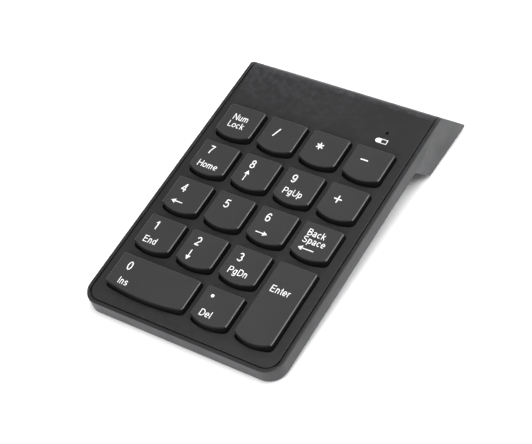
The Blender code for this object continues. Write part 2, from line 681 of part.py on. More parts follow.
def contact_plate(shop, name, side, centre, half_width):
    outer = BAY_RIGHT - 0.0003 if side > 0 else BAY_LEFT + 0.0003
    low_x, high_x = sorted((outer, outer - side * 0.0004))
    corners = [centre - BOTTOM_ALONG * half_width - BOTTOM_UP * 0.0036,
               centre + BOTTOM_ALONG * half_width - BOTTOM_UP * 0.0036,
               centre + BOTTOM_ALONG * half_width + BOTTOM_UP * 0.0036,
               centre - BOTTOM_ALONG * half_width + BOTTOM_UP * 0.0036]
    outline = rounded([(corner.x, corner.y, 0.0010) for corner in corners], 3)
    shop.add(name, prism(name, [outline], low_x, high_x, "X"), "steel")


def batteries(shop):
    front_place, front_foot = cell(shop, "cell_front", 0, -1)
    rear_place, rear_foot = cell(shop, "cell_rear", 1, 1)
    contact_spring(shop, "negative_spring", front_place, front_foot, 1)
    contact_spring(shop, "link_spring", rear_place, rear_foot, -1)
    contact_plate(shop, "negative_contact", 1, front_place, 0.0036)
    contact_plate(shop, "positive_contact", 1, rear_place, 0.0036)
    contact_plate(shop, "link_contact", -1, (front_place + rear_place) / 2, 0.0085)


# ---------------------------------------------------------------- receiver
def receiver(shop):
    left = -CASE_HALF + 0.0001
    half_y, half_z = CAP_WIDTH / 2, CAP_HEIGHT / 2
    groove = 0.0006
    outline = [(left, -half_y + groove)]
    ribs = 4
    pitch = CAP_LENGTH / (ribs + 0.5)
    for side in (-1, 1):
        edge = []
        for rib in range(ribs + 1):
            start = left + rib * pitch
            edge += [(start + 0.0002, side * half_y), (start + pitch / 2, side * half_y)]
            if rib < ribs:
                edge += [(start + pitch / 2 + 0.0002, side * (half_y - groove)),
                         (start + pitch, side * (half_y - groove))]
        edge.append((left + CAP_LENGTH, side * (half_y - groove)))
        outline += edge if side < 0 else list(reversed(edge))
    outline.append((left, half_y - groove))
    cap_mesh = prism("receiver_cap", [outline], -half_z, half_z)
    place = Vector((0.0, RECEIVER_Y, RECEIVER_Z))
    shop.add("receiver_cap", cap_mesh, "key_black", place)
    shell_left = left + CAP_LENGTH + GAP / 2
    shell_right = shell_left + PLUG_LENGTH - 0.0005
    plug_y, plug_z = PLUG_WIDTH / 2, PLUG_HEIGHT / 2
    corner = 0.0005
    outer = rounded([(-plug_y, -plug_z, corner), (plug_y, -plug_z, corner),
                     (plug_y, plug_z, corner), (-plug_y, plug_z, corner)])
    inset_y, inset_z = plug_y - PLUG_SHEET, plug_z - PLUG_SHEET
    inner = rounded([(-inset_y, -inset_z, 0.0003), (inset_y, -inset_z, 0.0003),
                     (inset_y, inset_z, 0.0003), (-inset_y, inset_z, 0.0003)])
    shell = prism("receiver_shell", [outer, inner], shell_left, shell_right, "X")
    shell_obj = shop.add("receiver_shell", shell, "nickel", place)
    work = bmesh.new()
    hole = 0.0012
    for side in (-1, 1):
        cube = bmesh.ops.create_cube(work, size=1.0)["verts"]
        bmesh.ops.scale(work, vec=(2 * hole, 2 * hole, 0.02), verts=cube)
        bmesh.ops.translate(work, vec=(shell_left + 0.0062, side * 0.0031, 0.0), verts=cube)
    windows = shop.add("shell_windows", finish_mesh(work, "shell_windows"), place=place)
    boolean(shell_obj, windows)
    tongue = box("receiver_tongue", (shell_left, -inset_y + GAP, -inset_z + FIT),
                 (shell_right - 0.0008, inset_y - GAP, -inset_z + FIT + 0.0018))
    shop.add("receiver_tongue", tongue, "chip_black", place)
    for index in range(4):
        y = (index - 1.5) * 0.0022
        blade = box("plug_contact", (shell_left + 0.0006, y - 0.0005, -inset_z + FIT + 0.0019),
                    (shell_right - 0.0012, y + 0.0005, -inset_z + FIT + 0.0021))
        shop.add(f"plug_contact_{index + 1}", blade, "gold", place)


# ---------------------------------------------------------------- fasteners and feet
def screws(shop):
    for index, (x, y) in enumerate(SCREW_PLACES):
        name = f"case_screw_{index + 1}"
        work = bmesh.new()
        seat = SLAB_BOTTOM + 0.0006 - GAP / 2
        add_cylinder(work, SCREW_HEAD_RADIUS, SLAB_BOTTOM + 0.00005, seat, (0.0, 0.0, 0.0), segments=16)
        screw = shop.add(name, finish_mesh(work, name), "steel", (x, y, 0.0))
        shaft = cylinders(name + "_shaft", SCREW_RADIUS, seat - 0.0002, -0.0022, [(0.0, 0.0, 0.0)],
                          segments=10)
        boolean(screw, shop.add(name + "_shaft", shaft, place=(x, y, 0.0)), "UNION")


def foot_y(name):
    """World y of a foot's axis."""
    if name.startswith("front"):
        return to_world(FRONT_FOOT_Y, SLAB_BOTTOM).x
    return to_world(*face_point(REAR_FOOT_Y)).x


def face_point(y):
    """Point on the hump's bottom face at deck-frame y."""
    return (y, HUMP_FRONT_LOW[1] + (y - HUMP_FRONT_LOW[0]) * BOTTOM_ALONG.y / BOTTOM_ALONG.x)


def feet_places():
    """Name of each foot: (x, bottom, top) of its upright disc in the world frame."""
    front_top = to_world(FRONT_FOOT_Y, SLAB_BOTTOM).y + FOOT_SINK
    rear_top = to_world(*face_point(REAR_FOOT_Y)).y + FOOT_SINK
    places = {}
    for side, sign in (("left", -1), ("right", 1)):
        places[f"front_foot_{side}"] = (sign * FRONT_FOOT_X, 0.0, front_top)
        places[f"rear_foot_{side}"] = (sign * REAR_FOOT_X, 0.0, rear_top)
    return places


def feet(shop):
    for name, (x, low, high) in feet_places().items():
        work = bmesh.new()
        add_cylinder(work, FOOT_RADIUS, low, high, (0.0, 0.0, 0.0), segments=24)
        mesh = finish_mesh(work, name)
        smooth(mesh)
        shop.add(name, mesh, "rubber", (x, foot_y(name), 0.0), "world")


# ---------------------------------------------------------------- build
def add_materials(shop):
    shop.material("deck_black", (0.045, 0.045, 0.047), 0.45)
    shop.material("case_black", (0.060, 0.060, 0.064), 0.40)
    shop.material("key_black", (0.050, 0.050, 0.052), 0.50)
    shop.material("steel", (0.60, 0.60, 0.60), 0.35, 1.0)
    shop.material("nickel", (0.62, 0.58, 0.52), 0.22, 1.0)
    shop.material("gold", (0.85, 0.62, 0.25), 0.25, 1.0)
    shop.material("film", (0.75, 0.78, 0.78), 0.30)
    shop.material("silicone", (0.78, 0.78, 0.76), 0.60)
    shop.material("board_green", (0.02, 0.16, 0.07), 0.45)
    shop.material("chip_black", (0.02, 0.02, 0.02), 0.50)
    shop.material("led_clear", (0.85, 0.85, 0.85), 0.10)
    shop.material("cream_plastic", (0.75, 0.70, 0.58), 0.50)
    shop.material("cell_wrap", (0.10, 0.14, 0.20), 0.35)
    shop.material("rubber", (0.03, 0.03, 0.03), 0.85)


def main():
    clear_scene()
    shop = Shop()
    add_materials(shop)
    top_cover(shop)
    bottom_case(shop)
    battery_door(shop)
    for name, layout in KEYS.items():
        keycap(shop, name, *layout)
    stabiliser(shop, "zero_key_stabiliser", "key_0")
    stabiliser(shop, "enter_key_stabiliser", "key_enter")
    key_stack(shop)
    electronics(shop)
    power_switch(shop)
    batteries(shop)
    receiver(shop)
    screws(shop)
    feet(shop)


main()
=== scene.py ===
"""Looks of the wireless numeric keypad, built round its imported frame.

Everything is in metres. The deck frame is the one the keypad was drawn in: its origin on the deck, level
with the rear edge of the rear row of keys, +X right, +Y to the rear, +Z out of the deck.
DECK takes it to the row frame.
"""

import math

import bmesh
import bpy
from mathutils import Matrix, Vector

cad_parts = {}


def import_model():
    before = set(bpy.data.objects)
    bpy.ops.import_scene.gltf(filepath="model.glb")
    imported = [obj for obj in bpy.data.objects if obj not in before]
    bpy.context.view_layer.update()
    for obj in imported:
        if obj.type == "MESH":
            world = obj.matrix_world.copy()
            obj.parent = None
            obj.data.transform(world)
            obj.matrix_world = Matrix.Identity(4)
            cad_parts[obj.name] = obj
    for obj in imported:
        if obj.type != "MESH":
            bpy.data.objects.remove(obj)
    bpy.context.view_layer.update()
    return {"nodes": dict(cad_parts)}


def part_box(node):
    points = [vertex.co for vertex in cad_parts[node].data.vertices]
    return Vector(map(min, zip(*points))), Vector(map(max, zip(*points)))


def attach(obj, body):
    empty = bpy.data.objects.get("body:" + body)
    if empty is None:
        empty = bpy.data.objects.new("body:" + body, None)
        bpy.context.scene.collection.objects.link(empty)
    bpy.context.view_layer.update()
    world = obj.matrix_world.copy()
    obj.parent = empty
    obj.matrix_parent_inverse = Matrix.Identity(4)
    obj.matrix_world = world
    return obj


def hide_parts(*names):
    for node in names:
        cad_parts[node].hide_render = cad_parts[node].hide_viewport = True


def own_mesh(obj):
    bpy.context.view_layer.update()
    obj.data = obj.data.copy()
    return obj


MM = 0.001

TILT = math.radians(5.9)
DECK_PLACE = Vector((0.0, 0.0296348, 0.0176009))
DECK = Matrix.Translation(DECK_PLACE) @ Matrix.Rotation(TILT, 4, "X")

# ---------------------------------------------------------------- sizes, deck frame
KEY_PITCH = 0.01905
KEY_WIDTH = 0.0158
KEY_SIDE = 0.0140           # straight length of a key's left and right sides
KEY_BULGE = 0.0015          # how far the front edge bows out
KEY_TOP = 0.0024
KEY_ROOF = 0.0011           # ceiling of the pocket under the top
KEY_WALL = 0.0009
KEY_REAR_Y = 0.0003
KEY_EDGE = 0.00040          # radius round the top
KEY_DISH = 0.00016          # depth of the finger dish
REAR_CORNER = 0.0008
FRONT_CORNER = 0.0018
FLANGE_OUT = 0.00065
FLANGE_TOP = -0.0014
FLANGE_BOTTOM = -0.0020
STEM_RADIUS = 0.0022
STEM_BOTTOM = -0.00185

INK = 0.000015              # height of the print above the plastic
ICON_PLACE = Vector((0.0268, 0.0058))

# key name: (column, row, columns wide, rows deep)
KEYS = {
    "key_num_lock": (0, 0, 1, 1), "key_divide": (1, 0, 1, 1),
    "key_multiply": (2, 0, 1, 1), "key_minus": (3, 0, 1, 1),
    "key_7": (0, 1, 1, 1), "key_8": (1, 1, 1, 1), "key_9": (2, 1, 1, 1), "key_plus": (3, 1, 1, 1),
    "key_4": (0, 2, 1, 1), "key_5": (1, 2, 1, 1), "key_6": (2, 2, 1, 1), "key_backspace": (3, 2, 1, 1),
    "key_1": (0, 3, 1, 1), "key_2": (1, 3, 1, 1), "key_3": (2, 3, 1, 1), "key_enter": (3, 3, 1, 2),
    "key_0": (0, 4, 2, 1), "key_decimal": (2, 4, 1, 1),
}

DIGIT = 3.75                # capital heights, millimetres
WORD = 2.85
# key name: its marks; each is (mark, size or length, x, y), in millimetres from the middle of the key
LEGENDS = {
    "key_num_lock": [("Num", WORD, -0.6, 2.35), ("Lock", WORD, -0.6, -1.3)],
    "key_divide": [("slash", 4.3, -2.5, 1.2)],
    "key_multiply": [("star", 3.2, -2.2, 1.4)],
    "key_minus": [("bar", 3.2, -2.1, 1.6)],
    "key_plus": [("cross", 3.4, -2.2, 1.2)],
    "key_7": [("7", DIGIT, -3.2, 3.7), ("Home", WORD, -0.5, -3.1)],
    "key_8": [("8", DIGIT, -2.9, 3.6), ("arrow up", 4.9, -2.9, -1.9)],
    "key_9": [("9", DIGIT, -3.4, 3.5), ("PgUp", WORD, -0.6, -2.8)],
    "key_4": [("4", DIGIT, -3.1, 3.4), ("arrow left", 5.0, -2.4, -3.2)],
    "key_5": [("5", DIGIT, -2.4, 3.2)],
    "key_6": [("6", DIGIT, -3.2, 3.5), ("arrow right", 5.0, -2.0, -3.6)],
    "key_backspace": [("Back", WORD, -1.3, 3.6), ("Space", WORD, -0.6, -0.2),
                      ("arrow left", 6.6, -2.0, -3.6)],
    "key_1": [("1", DIGIT, -3.5, 3.6), ("End", WORD, -1.9, -3.1)],
    "key_2": [("2", DIGIT, -3.2, 3.4), ("arrow down", 4.6, -3.3, -3.0)],
    "key_3": [("3", DIGIT, -3.4, 3.4), ("PgDn", WORD, -0.9, -2.9)],
    "key_enter": [("Enter", WORD, -0.9, 5.9)],
    "key_0": [("0", DIGIT, -11.9, 3.2), ("Ins", WORD, -10.4, -3.5)],
    "key_decimal": [("dot", 1.35, -4.0, 4.1), ("Del", WORD, -2.3, -3.2)],
}


# ---------------------------------------------------------------- materials
class Surface:
    """A procedural material under construction: a Principled shader and the nodes that feed it."""

    def __init__(self, name, colour, roughness, metallic=0.0, specular=0.5):
        self.material = bpy.data.materials.new(name)
        self.material.use_nodes = True
        self.tree = self.material.node_tree
        self.shader = self.tree.nodes["Principled BSDF"]
        self.colour = (*colour, 1.0)
        self.shader.inputs["Base Color"].default_value = self.colour
        self.shader.inputs["Roughness"].default_value = roughness
        self.shader.inputs["Metallic"].default_value = metallic
        self.shader.inputs["Specular IOR Level"].default_value = specular
        self.roughness = roughness
        self.place = self.node("ShaderNodeTexCoord").outputs["Object"]
        self.normal = None
        self.tint = None

    def node(self, kind, **settings):
        node = self.tree.nodes.new(kind)
        for key, value in settings.items():
            setattr(node, key, value)
        return node

    def link(self, source, target):
        self.tree.links.new(source, target)

    def noise(self, size, detail=2.0, stretch=(1.0, 1.0, 1.0)):
        """Noise with features of about that size in metres, longer along an axis by its stretch."""
        mapping = self.node("ShaderNodeMapping")
        mapping.inputs["Scale"].default_value = [1.0 / (size * part) for part in stretch]
        self.link(self.place, mapping.inputs["Vector"])
        noise = self.node("ShaderNodeTexNoise")
        noise.inputs["Scale"].default_value = 1.0
        noise.inputs["Detail"].default_value = detail
        self.link(mapping.outputs["Vector"], noise.inputs["Vector"])
        return noise.outputs["Fac"]

    def ranged(self, source, low, high, start=0.3, end=0.7):
        scale = self.node("ShaderNodeMapRange")
        for socket, value in (("From Min", start), ("From Max", end), ("To Min", low), ("To Max", high)):
            scale.inputs[socket].default_value = value
        self.link(source, scale.inputs["Value"])
        return scale.outputs["Result"]

    def mix_colour(self, factor, other):
        """Blends the base colour towards another where factor is 1."""
        mix = self.node("ShaderNodeMix", data_type="RGBA")
        mix.inputs["A"].default_value = self.colour
        if self.tint is not None:
            self.link(self.tint, mix.inputs["A"])
        mix.inputs["B"].default_value = (*other, 1.0)
        self.link(factor, mix.inputs["Factor"])
        self.tint = mix.outputs["Result"]
        self.link(self.tint, self.shader.inputs["Base Color"])

    def mottle(self, size, colour_part, roughness_part, detail=3.0):
        """Broad unevenness of colour and gloss, each a share of its value."""
        field = self.noise(size, detail)
        darker = tuple(part * (1.0 - colour_part) for part in self.colour[:3])
        self.mix_colour(self.ranged(field, 0.0, 1.0), darker)
        low, high = self.roughness * (1.0 - roughness_part), self.roughness * (1.0 + roughness_part)
        self.link(self.ranged(field, low, min(high, 1.0)), self.shader.inputs["Roughness"])
        return self

    def relief(self, field, height):
        """Adds a bump of that height in metres over what is there."""
        bump = self.node("ShaderNodeBump")
        bump.inputs["Strength"].default_value = 1.0
        bump.inputs["Distance"].default_value = height
        self.link(field, bump.inputs["Height"])
        if self.normal is not None:
            self.link(self.normal, bump.inputs["Normal"])
        self.normal = bump.outputs["Normal"]
        self.link(self.normal, self.shader.inputs["Normal"])
        return self

    def grain(self, size, height, stretch=(1.0, 1.0, 1.0), detail=2.0):
        return self.relief(self.noise(size, detail, stretch), height)

    def wear(self, colour, start=0.53, end=0.62):
        """Paler convex edges, broken up by noise."""
        point = self.node("ShaderNodeNewGeometry").outputs["Pointiness"]
        edges = self.ranged(point, 0.0, 1.0, start, end)
        patches = self.ranged(self.noise(0.0025), 0.25, 1.0, 0.40, 0.62)
        both = self.node("ShaderNodeMath", operation="MULTIPLY")
        self.link(edges, both.inputs[0])
        self.link(patches, both.inputs[1])
        self.mix_colour(both.outputs[0], colour)
        return self

    def specks(self, size, colour, share=0.06):
        """Small scattered flecks, such as dust or fibres."""
        field = self.noise(size, 1.0)
        self.mix_colour(self.ranged(field, 0.0, 1.0, 0.74 - share, 0.78 - share), colour)
        return self


def make_materials():
    deck = Surface("deck_plastic", (0.012, 0.012, 0.0125), 0.42, specular=0.34)
    deck.mottle(0.012, 0.12, 0.12).grain(0.00022, 0.0000045).grain(0.004, 0.000006, detail=1.0)
    deck.wear((0.030, 0.030, 0.032))
    case = Surface("case_plastic", (0.0115, 0.0117, 0.0132), 0.38, specular=0.37)
    case.mottle(0.010, 0.10, 0.15).grain(0.00028, 0.000006).grain(0.0032, 0.000005, detail=1.0)
    case.wear((0.040, 0.041, 0.044))
    top = Surface("key_plastic", (0.021, 0.021, 0.0215), 0.48, specular=0.34)
    top.mottle(0.007, 0.10, 0.12).grain(0.00020, 0.000006).wear((0.050, 0.050, 0.052))
    # rubbed wear and painted highlight: a paler, glossier copy of the key plastic for the key's edge
    # rounding, so that it shows a bright line
    edge = Surface("key_edge_wear_and_highlight", (0.025, 0.025, 0.026), 0.30, specular=0.75)
    edge.mottle(0.005, 0.12, 0.12).grain(0.00025, 0.000002)
    # painted shade: a much darker copy of the key plastic for the key walls, the front of the key edges and
    # the seam's walls, where they lie in shade
    side = Surface("painted_shade_plastic", (0.0045, 0.0045, 0.0047), 0.55, specular=0.12)
    side.mottle(0.004, 0.15, 0.10).grain(0.00025, 0.000005)
    side.grain(0.0006, 0.000004, stretch=(1.0, 1.0, 8.0))
    ink = Surface("white_print", (0.68, 0.68, 0.68), 0.45)
    ink.mottle(0.0012, 0.06, 0.12).grain(0.00012, 0.000003)
    steel = Surface("zinc_steel", (0.60, 0.60, 0.61), 0.32, metallic=1.0)
    steel.mottle(0.003, 0.18, 0.25).grain(0.0004, 0.000004, stretch=(8.0, 1.0, 1.0))
    nickel = Surface("nickel_plate", (0.66, 0.62, 0.56), 0.20, metallic=1.0)
    nickel.mottle(0.004, 0.10, 0.30).grain(0.0003, 0.0000025, stretch=(12.0, 1.0, 1.0))
    nickel.wear((0.80, 0.77, 0.72))
    gold = Surface("gold_plate", (0.83, 0.60, 0.24), 0.22, metallic=1.0)
    gold.mottle(0.0012, 0.15, 0.25).grain(0.0002, 0.000002, stretch=(10.0, 1.0, 1.0))
    film = Surface("membrane_film", (0.62, 0.66, 0.65), 0.28)
    film.mottle(0.006, 0.10, 0.20).grain(0.001, 0.000006)
    silicone = Surface("silicone_rubber", (0.70, 0.70, 0.68), 0.62)
    silicone.mottle(0.004, 0.10, 0.10).grain(0.0004, 0.000008)
    board = Surface("circuit_board", (0.012, 0.11, 0.045), 0.36)
    board.mottle(0.003, 0.25, 0.15).grain(0.0009, 0.000010, stretch=(6.0, 1.0, 1.0))
    board.specks(0.0011, (0.04, 0.24, 0.11), 0.10)
    chip = Surface("chip_resin", (0.018, 0.018, 0.019), 0.55)
    chip.mottle(0.0015, 0.20, 0.15).grain(0.00012, 0.000006).specks(0.00025, (0.06, 0.06, 0.06))
    lens = Surface("led_resin", (0.004, 0.004, 0.0045), 0.30, specular=0.15)
    lens.mottle(0.001, 0.10, 0.30).grain(0.0003, 0.000002)
    cream = Surface("cream_nylon", (0.70, 0.64, 0.50), 0.50)
    cream.mottle(0.002, 0.12, 0.15).grain(0.0002, 0.000006)
    sleeve = Surface("cell_sleeve", (0.045, 0.085, 0.16), 0.26)
    sleeve.mottle(0.006, 0.10, 0.25).grain(0.0007, 0.000006, stretch=(6.0, 1.0, 1.0))
    band = Surface("cell_band", (0.50, 0.50, 0.50), 0.24, metallic=0.6)
    band.mottle(0.005, 0.12, 0.25).grain(0.0007, 0.000006, stretch=(6.0, 1.0, 1.0))
    rubber = Surface("foot_rubber", (0.020, 0.020, 0.020), 0.80, specular=0.35)
    rubber.mottle(0.002, 0.25, 0.08).grain(0.00035, 0.000014).specks(0.0009, (0.07, 0.068, 0.065))
    made = (deck, case, top, edge, side, ink, steel, nickel, gold, film, silicone, board, chip, lens, cream,
            sleeve, band, rubber)
    return {surface.material.name: surface.material for surface in made}


# ---------------------------------------------------------------- outlines
def arc(centre, radius, start, end, steps):
    """Points of an arc in degrees, ends included."""
    points = []
    for step in range(steps + 1):
        angle = math.radians(start + (end - start) * step / steps)
        points.append(centre + radius * Vector((math.cos(angle), math.sin(angle))))
    return points


def between(start, end, steps):
    """Points that divide a straight side, its ends left out."""
    return [start.lerp(end, step / steps) for step in range(1, steps)]


def smile_outline(columns, rows, grow=0.0):
    """Key outline with a bowed front edge, rear edge's middle at (0, 0), counter-clockwise."""
    half = (KEY_WIDTH + (columns - 1) * KEY_PITCH) / 2 + grow
    side = -(KEY_SIDE + (rows - 1) * KEY_PITCH) - grow
    rear, front = max(REAR_CORNER + grow, 0.0003), max(FRONT_CORNER + grow, 0.0003)
    lean = math.degrees(math.atan2(2 * KEY_BULGE, half))
    left = arc(Vector((-half + front, side + front)), front, 180.0, 270.0 - lean, 6)
    right = arc(Vector((half - front, side + front)), front, 270.0 + lean, 360.0, 6)
    bow = []
    steps = 10 * columns
    reach = right[0].x
    drop = side - right[0].y
    for step in range(1, steps):
        across = 2 * step / steps - 1
        bow.append(Vector((reach * across, right[0].y + (drop - KEY_BULGE) * (1 - across * across))))
    rear_right = arc(Vector((half - rear, grow - rear)), rear, 0.0, 90.0, 5)
    rear_left = arc(Vector((-half + rear, grow - rear)), rear, 90.0, 180.0, 5)
    along, across = 8 * rows, 8 * columns
    return (left + bow + right + between(right[-1], rear_right[0], along) + rear_right
            + between(rear_right[-1], rear_left[0], across) + rear_left
            + between(rear_left[-1], left[0], along))


def key_place(name):
    column, row, columns, _ = KEYS[name]
    return Vector(((column - 1.5 + (columns - 1) / 2) * KEY_PITCH, KEY_REAR_Y - row * KEY_PITCH))


def key_middle(rows):
    """Y of a key's middle, behind which its rear edge is at 0."""
    return -(KEY_SIDE + KEY_BULGE + (rows - 1) * KEY_PITCH) / 2


def dish(point, columns, rows):
    """Depth of the finger dish at a point of the key, measured from its rear middle."""
    half_x = (KEY_WIDTH + (columns - 1) * KEY_PITCH) / 2
    half_y = -key_middle(rows)
    across = min(abs(point.x) / half_x, 1.0)
    along = min(abs(point.y + half_y) / half_y, 1.0)
    return KEY_DISH * (1 - across ** 2) * (1 - along ** 4)


# ---------------------------------------------------------------- mesh helpers
def to_object(name, work, materials, place=DECK):
    """An object from a bmesh drawn in the deck frame, unless another place is given."""
    bmesh.ops.recalc_face_normals(work, faces=work.faces)
    bmesh.ops.transform(work, matrix=place, verts=work.verts)
    mesh = bpy.data.meshes.new(name)
    work.to_mesh(mesh)
    work.free()
    for material in materials:
        mesh.materials.append(material)
    obj = bpy.data.objects.new(name, mesh)
    bpy.context.scene.collection.objects.link(obj)
    return obj


def smooth(obj, angle=35.0):
    """Smooth shading that breaks at sharp edges and keeps large flat faces flat."""
    obj.data.shade_smooth()
    obj.data.set_sharp_from_angle(angle=math.radians(angle))
    weighted = obj.modifiers.new("flat_faces", "WEIGHTED_NORMAL")
    weighted.keep_sharp = True
    weighted.weight = 100


def add_loop(work, points, height, offset=Vector((0.0, 0.0))):
    """Vertices of one ring; height is a number or a function of the point."""
    rise = height if callable(height) else (lambda point: height)
    return [work.verts.new((point.x + offset.x, point.y + offset.y, rise(point))) for point in points]


def bridge(work, lower, upper, material=0):
    for index in range(len(lower)):
        after = (index + 1) % len(lower)
        face = work.faces.new((lower[index], lower[after], upper[after], upper[index]))
        face.material_index = material


def close(work, loop, place, material=0):
    """A fan from a loop to one point."""
    tip = work.verts.new(place)
    for index in range(len(loop)):
        face = work.faces.new((loop[index], loop[(index + 1) % len(loop)], tip))
        face.material_index = material


def lathe(work, rings, axis_place, turn, segments=32, material=lambda index: 0):
    """Closed body of revolution about an axis; rings are (distance along it, radius)."""
    loops = []
    for along, radius in rings:
        loop = []
        for step in range(segments):
            angle = 2 * math.pi * step / segments
            local = Vector((radius * math.cos(angle), radius * math.sin(angle), along))
            loop.append(work.verts.new(axis_place + turn @ local))
        loops.append(loop)
    for index, (lower, upper) in enumerate(zip(loops, loops[1:])):
        bridge(work, lower, upper, material(index))
    close(work, loops[0], axis_place + turn @ Vector((0.0, 0.0, rings[0][0])), material(0))
    close(work, loops[-1], axis_place + turn @ Vector((0.0, 0.0, rings[-1][0])), material(len(rings) - 2))


def loft(work, sections):
    """Closed skin through sections along X; each is (x, outline of (y, z) points)."""
    loops = [[work.verts.new((x, point.x, point.y)) for point in outline] for x, outline in sections]
    for lower, upper in zip(loops, loops[1:]):
        bridge(work, lower, upper)
    for loop, (x, outline) in ((loops[0], sections[0]), (loops[-1], sections[-1])):
        middle = sum(outline, Vector((0.0, 0.0))) / len(outline)
        close(work, loop, (x, middle.x, middle.y))


def soft_rectangle(centre, half_y, half_z, corner):
    points = []
    for turn, side_y, side_z in ((0.0, 1, 1), (90.0, -1, 1), (180.0, -1, -1), (270.0, 1, -1)):
        middle = centre + Vector((side_y * (half_y - corner), side_z * (half_z - corner)))
        points += arc(middle, corner, turn, turn + 90.0, 5)
    return points


def carve(obj, cutter):
    """Cuts one object out of another and removes the cutter."""
    cut = obj.modifiers.new("cut", "BOOLEAN")
    cut.object = cutter
    cut.solver = "EXACT"
    graph = bpy.context.evaluated_depsgraph_get()
    mesh = bpy.data.meshes.new_from_object(obj.evaluated_get(graph))
    obj.modifiers.remove(cut)
    obj.data = mesh
    bpy.data.objects.remove(cutter, do_unlink=True)


def stand_for(obj, node, body, angle=35.0):
    """A finished piece takes the place of a frame node."""
    smooth(obj, angle)
    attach(obj, body)
    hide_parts(node)


# ---------------------------------------------------------------- keys
TOP, EDGE, SIDE = 0, 1, 2   # places of a key's finishes: plain top, edge with rubbed wear and a painted highlight, sides in painted shade


def keycap(name, materials):
    """Moulded key: dished textured top with a small edge radius, walls darkened with painted shade, flange
    and pocket; the edge rounding is paler with rubbed wear and a painted highlight, except at the front,
    where it takes the walls' painted shade.
    """
    _, _, columns, rows = KEYS[name]
    place = key_place(name)
    middle = Vector((0.0, key_middle(rows)))
    work = bmesh.new()

    def ring(grow, height):
        return add_loop(work, smile_outline(columns, rows, grow), height, place)

    skirt = [(-KEY_WALL, KEY_ROOF), (-KEY_WALL, FLANGE_BOTTOM), (FLANGE_OUT, FLANGE_BOTTOM),
             (FLANGE_OUT, FLANGE_TOP), (0.0, FLANGE_TOP), (0.0, KEY_TOP - KEY_EDGE - 0.00015),
             (0.0, KEY_TOP - KEY_EDGE)]
    loops = [ring(grow, height) for grow, height in skirt]
    edge_steps = 4
    for step in range(1, edge_steps + 1):
        angle = math.pi / 2 * step / edge_steps
        loops.append(ring(-KEY_EDGE * (1 - math.cos(angle)), KEY_TOP - KEY_EDGE * (1 - math.sin(angle))))
    rim = smile_outline(columns, rows, -KEY_EDGE)
    inner_steps = 7
    for step in range(1, inner_steps):
        share = 1 - step / inner_steps
        points = [middle + (point - middle) * share for point in rim]
        loops.append(add_loop(work, points, lambda point: KEY_TOP - dish(point, columns, rows), place))
    for index, (lower, upper) in enumerate(zip(loops, loops[1:])):
        # the walls get painted shade, the edge rounding a painted highlight with wear, the rest the plain
        # top
        finish = SIDE if index < len(skirt) - 1 else EDGE if index < len(skirt) - 1 + edge_steps else TOP
        bridge(work, lower, upper, finish)
    # at the front the edge rounding takes the walls' painted shade instead of the painted highlight
    front = place.y - KEY_SIDE - (rows - 1) * KEY_PITCH + FRONT_CORNER / 2
    for face in work.faces:
        if face.material_index == EDGE and face.calc_center_median().y < front:
            face.material_index = SIDE
    close(work, loops[-1], (place.x, place.y + middle.y, KEY_TOP - dish(middle, columns, rows)))
    close(work, loops[0], (place.x, place.y + middle.y, KEY_ROOF), SIDE)
    stem = [(STEM_BOTTOM, STEM_RADIUS - 0.0002), (STEM_BOTTOM + 0.0002, STEM_RADIUS),
            (KEY_ROOF + 0.0003, STEM_RADIUS)]
    lathe(work, stem, Vector((place.x, place.y + middle.y, 0.0)), Matrix.Identity(3), 20, lambda index: SIDE)
    finishes = ("key_plastic", "key_edge_wear_and_highlight", "painted_shade_plastic")
    key = to_object(name + "_cap", work, [materials[finish] for finish in finishes])
    stand_for(key, name, name, 40.0)


# ---------------------------------------------------------------- lettering
def bow(x, y, half_wide, half_high, start, end):
    """Points of an elliptical arc in degrees, ends included."""
    steps = max(3, round(abs(end - start) / 18))
    angles = [math.radians(start + (end - start) * step / steps) for step in range(steps + 1)]
    return [(x + half_wide * math.cos(angle), y + half_high * math.sin(angle)) for angle in angles]


PEN = 0.115                 # stroke width of the lettering, a share of the capital height
NARROW = 0.86               # width of the letters against the table's proportions
FOOT = PEN / 2              # heights of the centre lines: base, top of capitals, top of t's bar, middle bars
HEAD = 1 - PEN / 2
SMALL = 0.665
WAIST = 0.53


def stem(x, low=0.0, high=1.0):
    return [(x, low), (x, high)]


def bar(left, right, y):
    return [(left, y), (right, y)]


def small_bowl(x, half_wide):
    """Round part of a small letter."""
    return bow(x, 0.3625, half_wide, 0.3025, 90, 450)


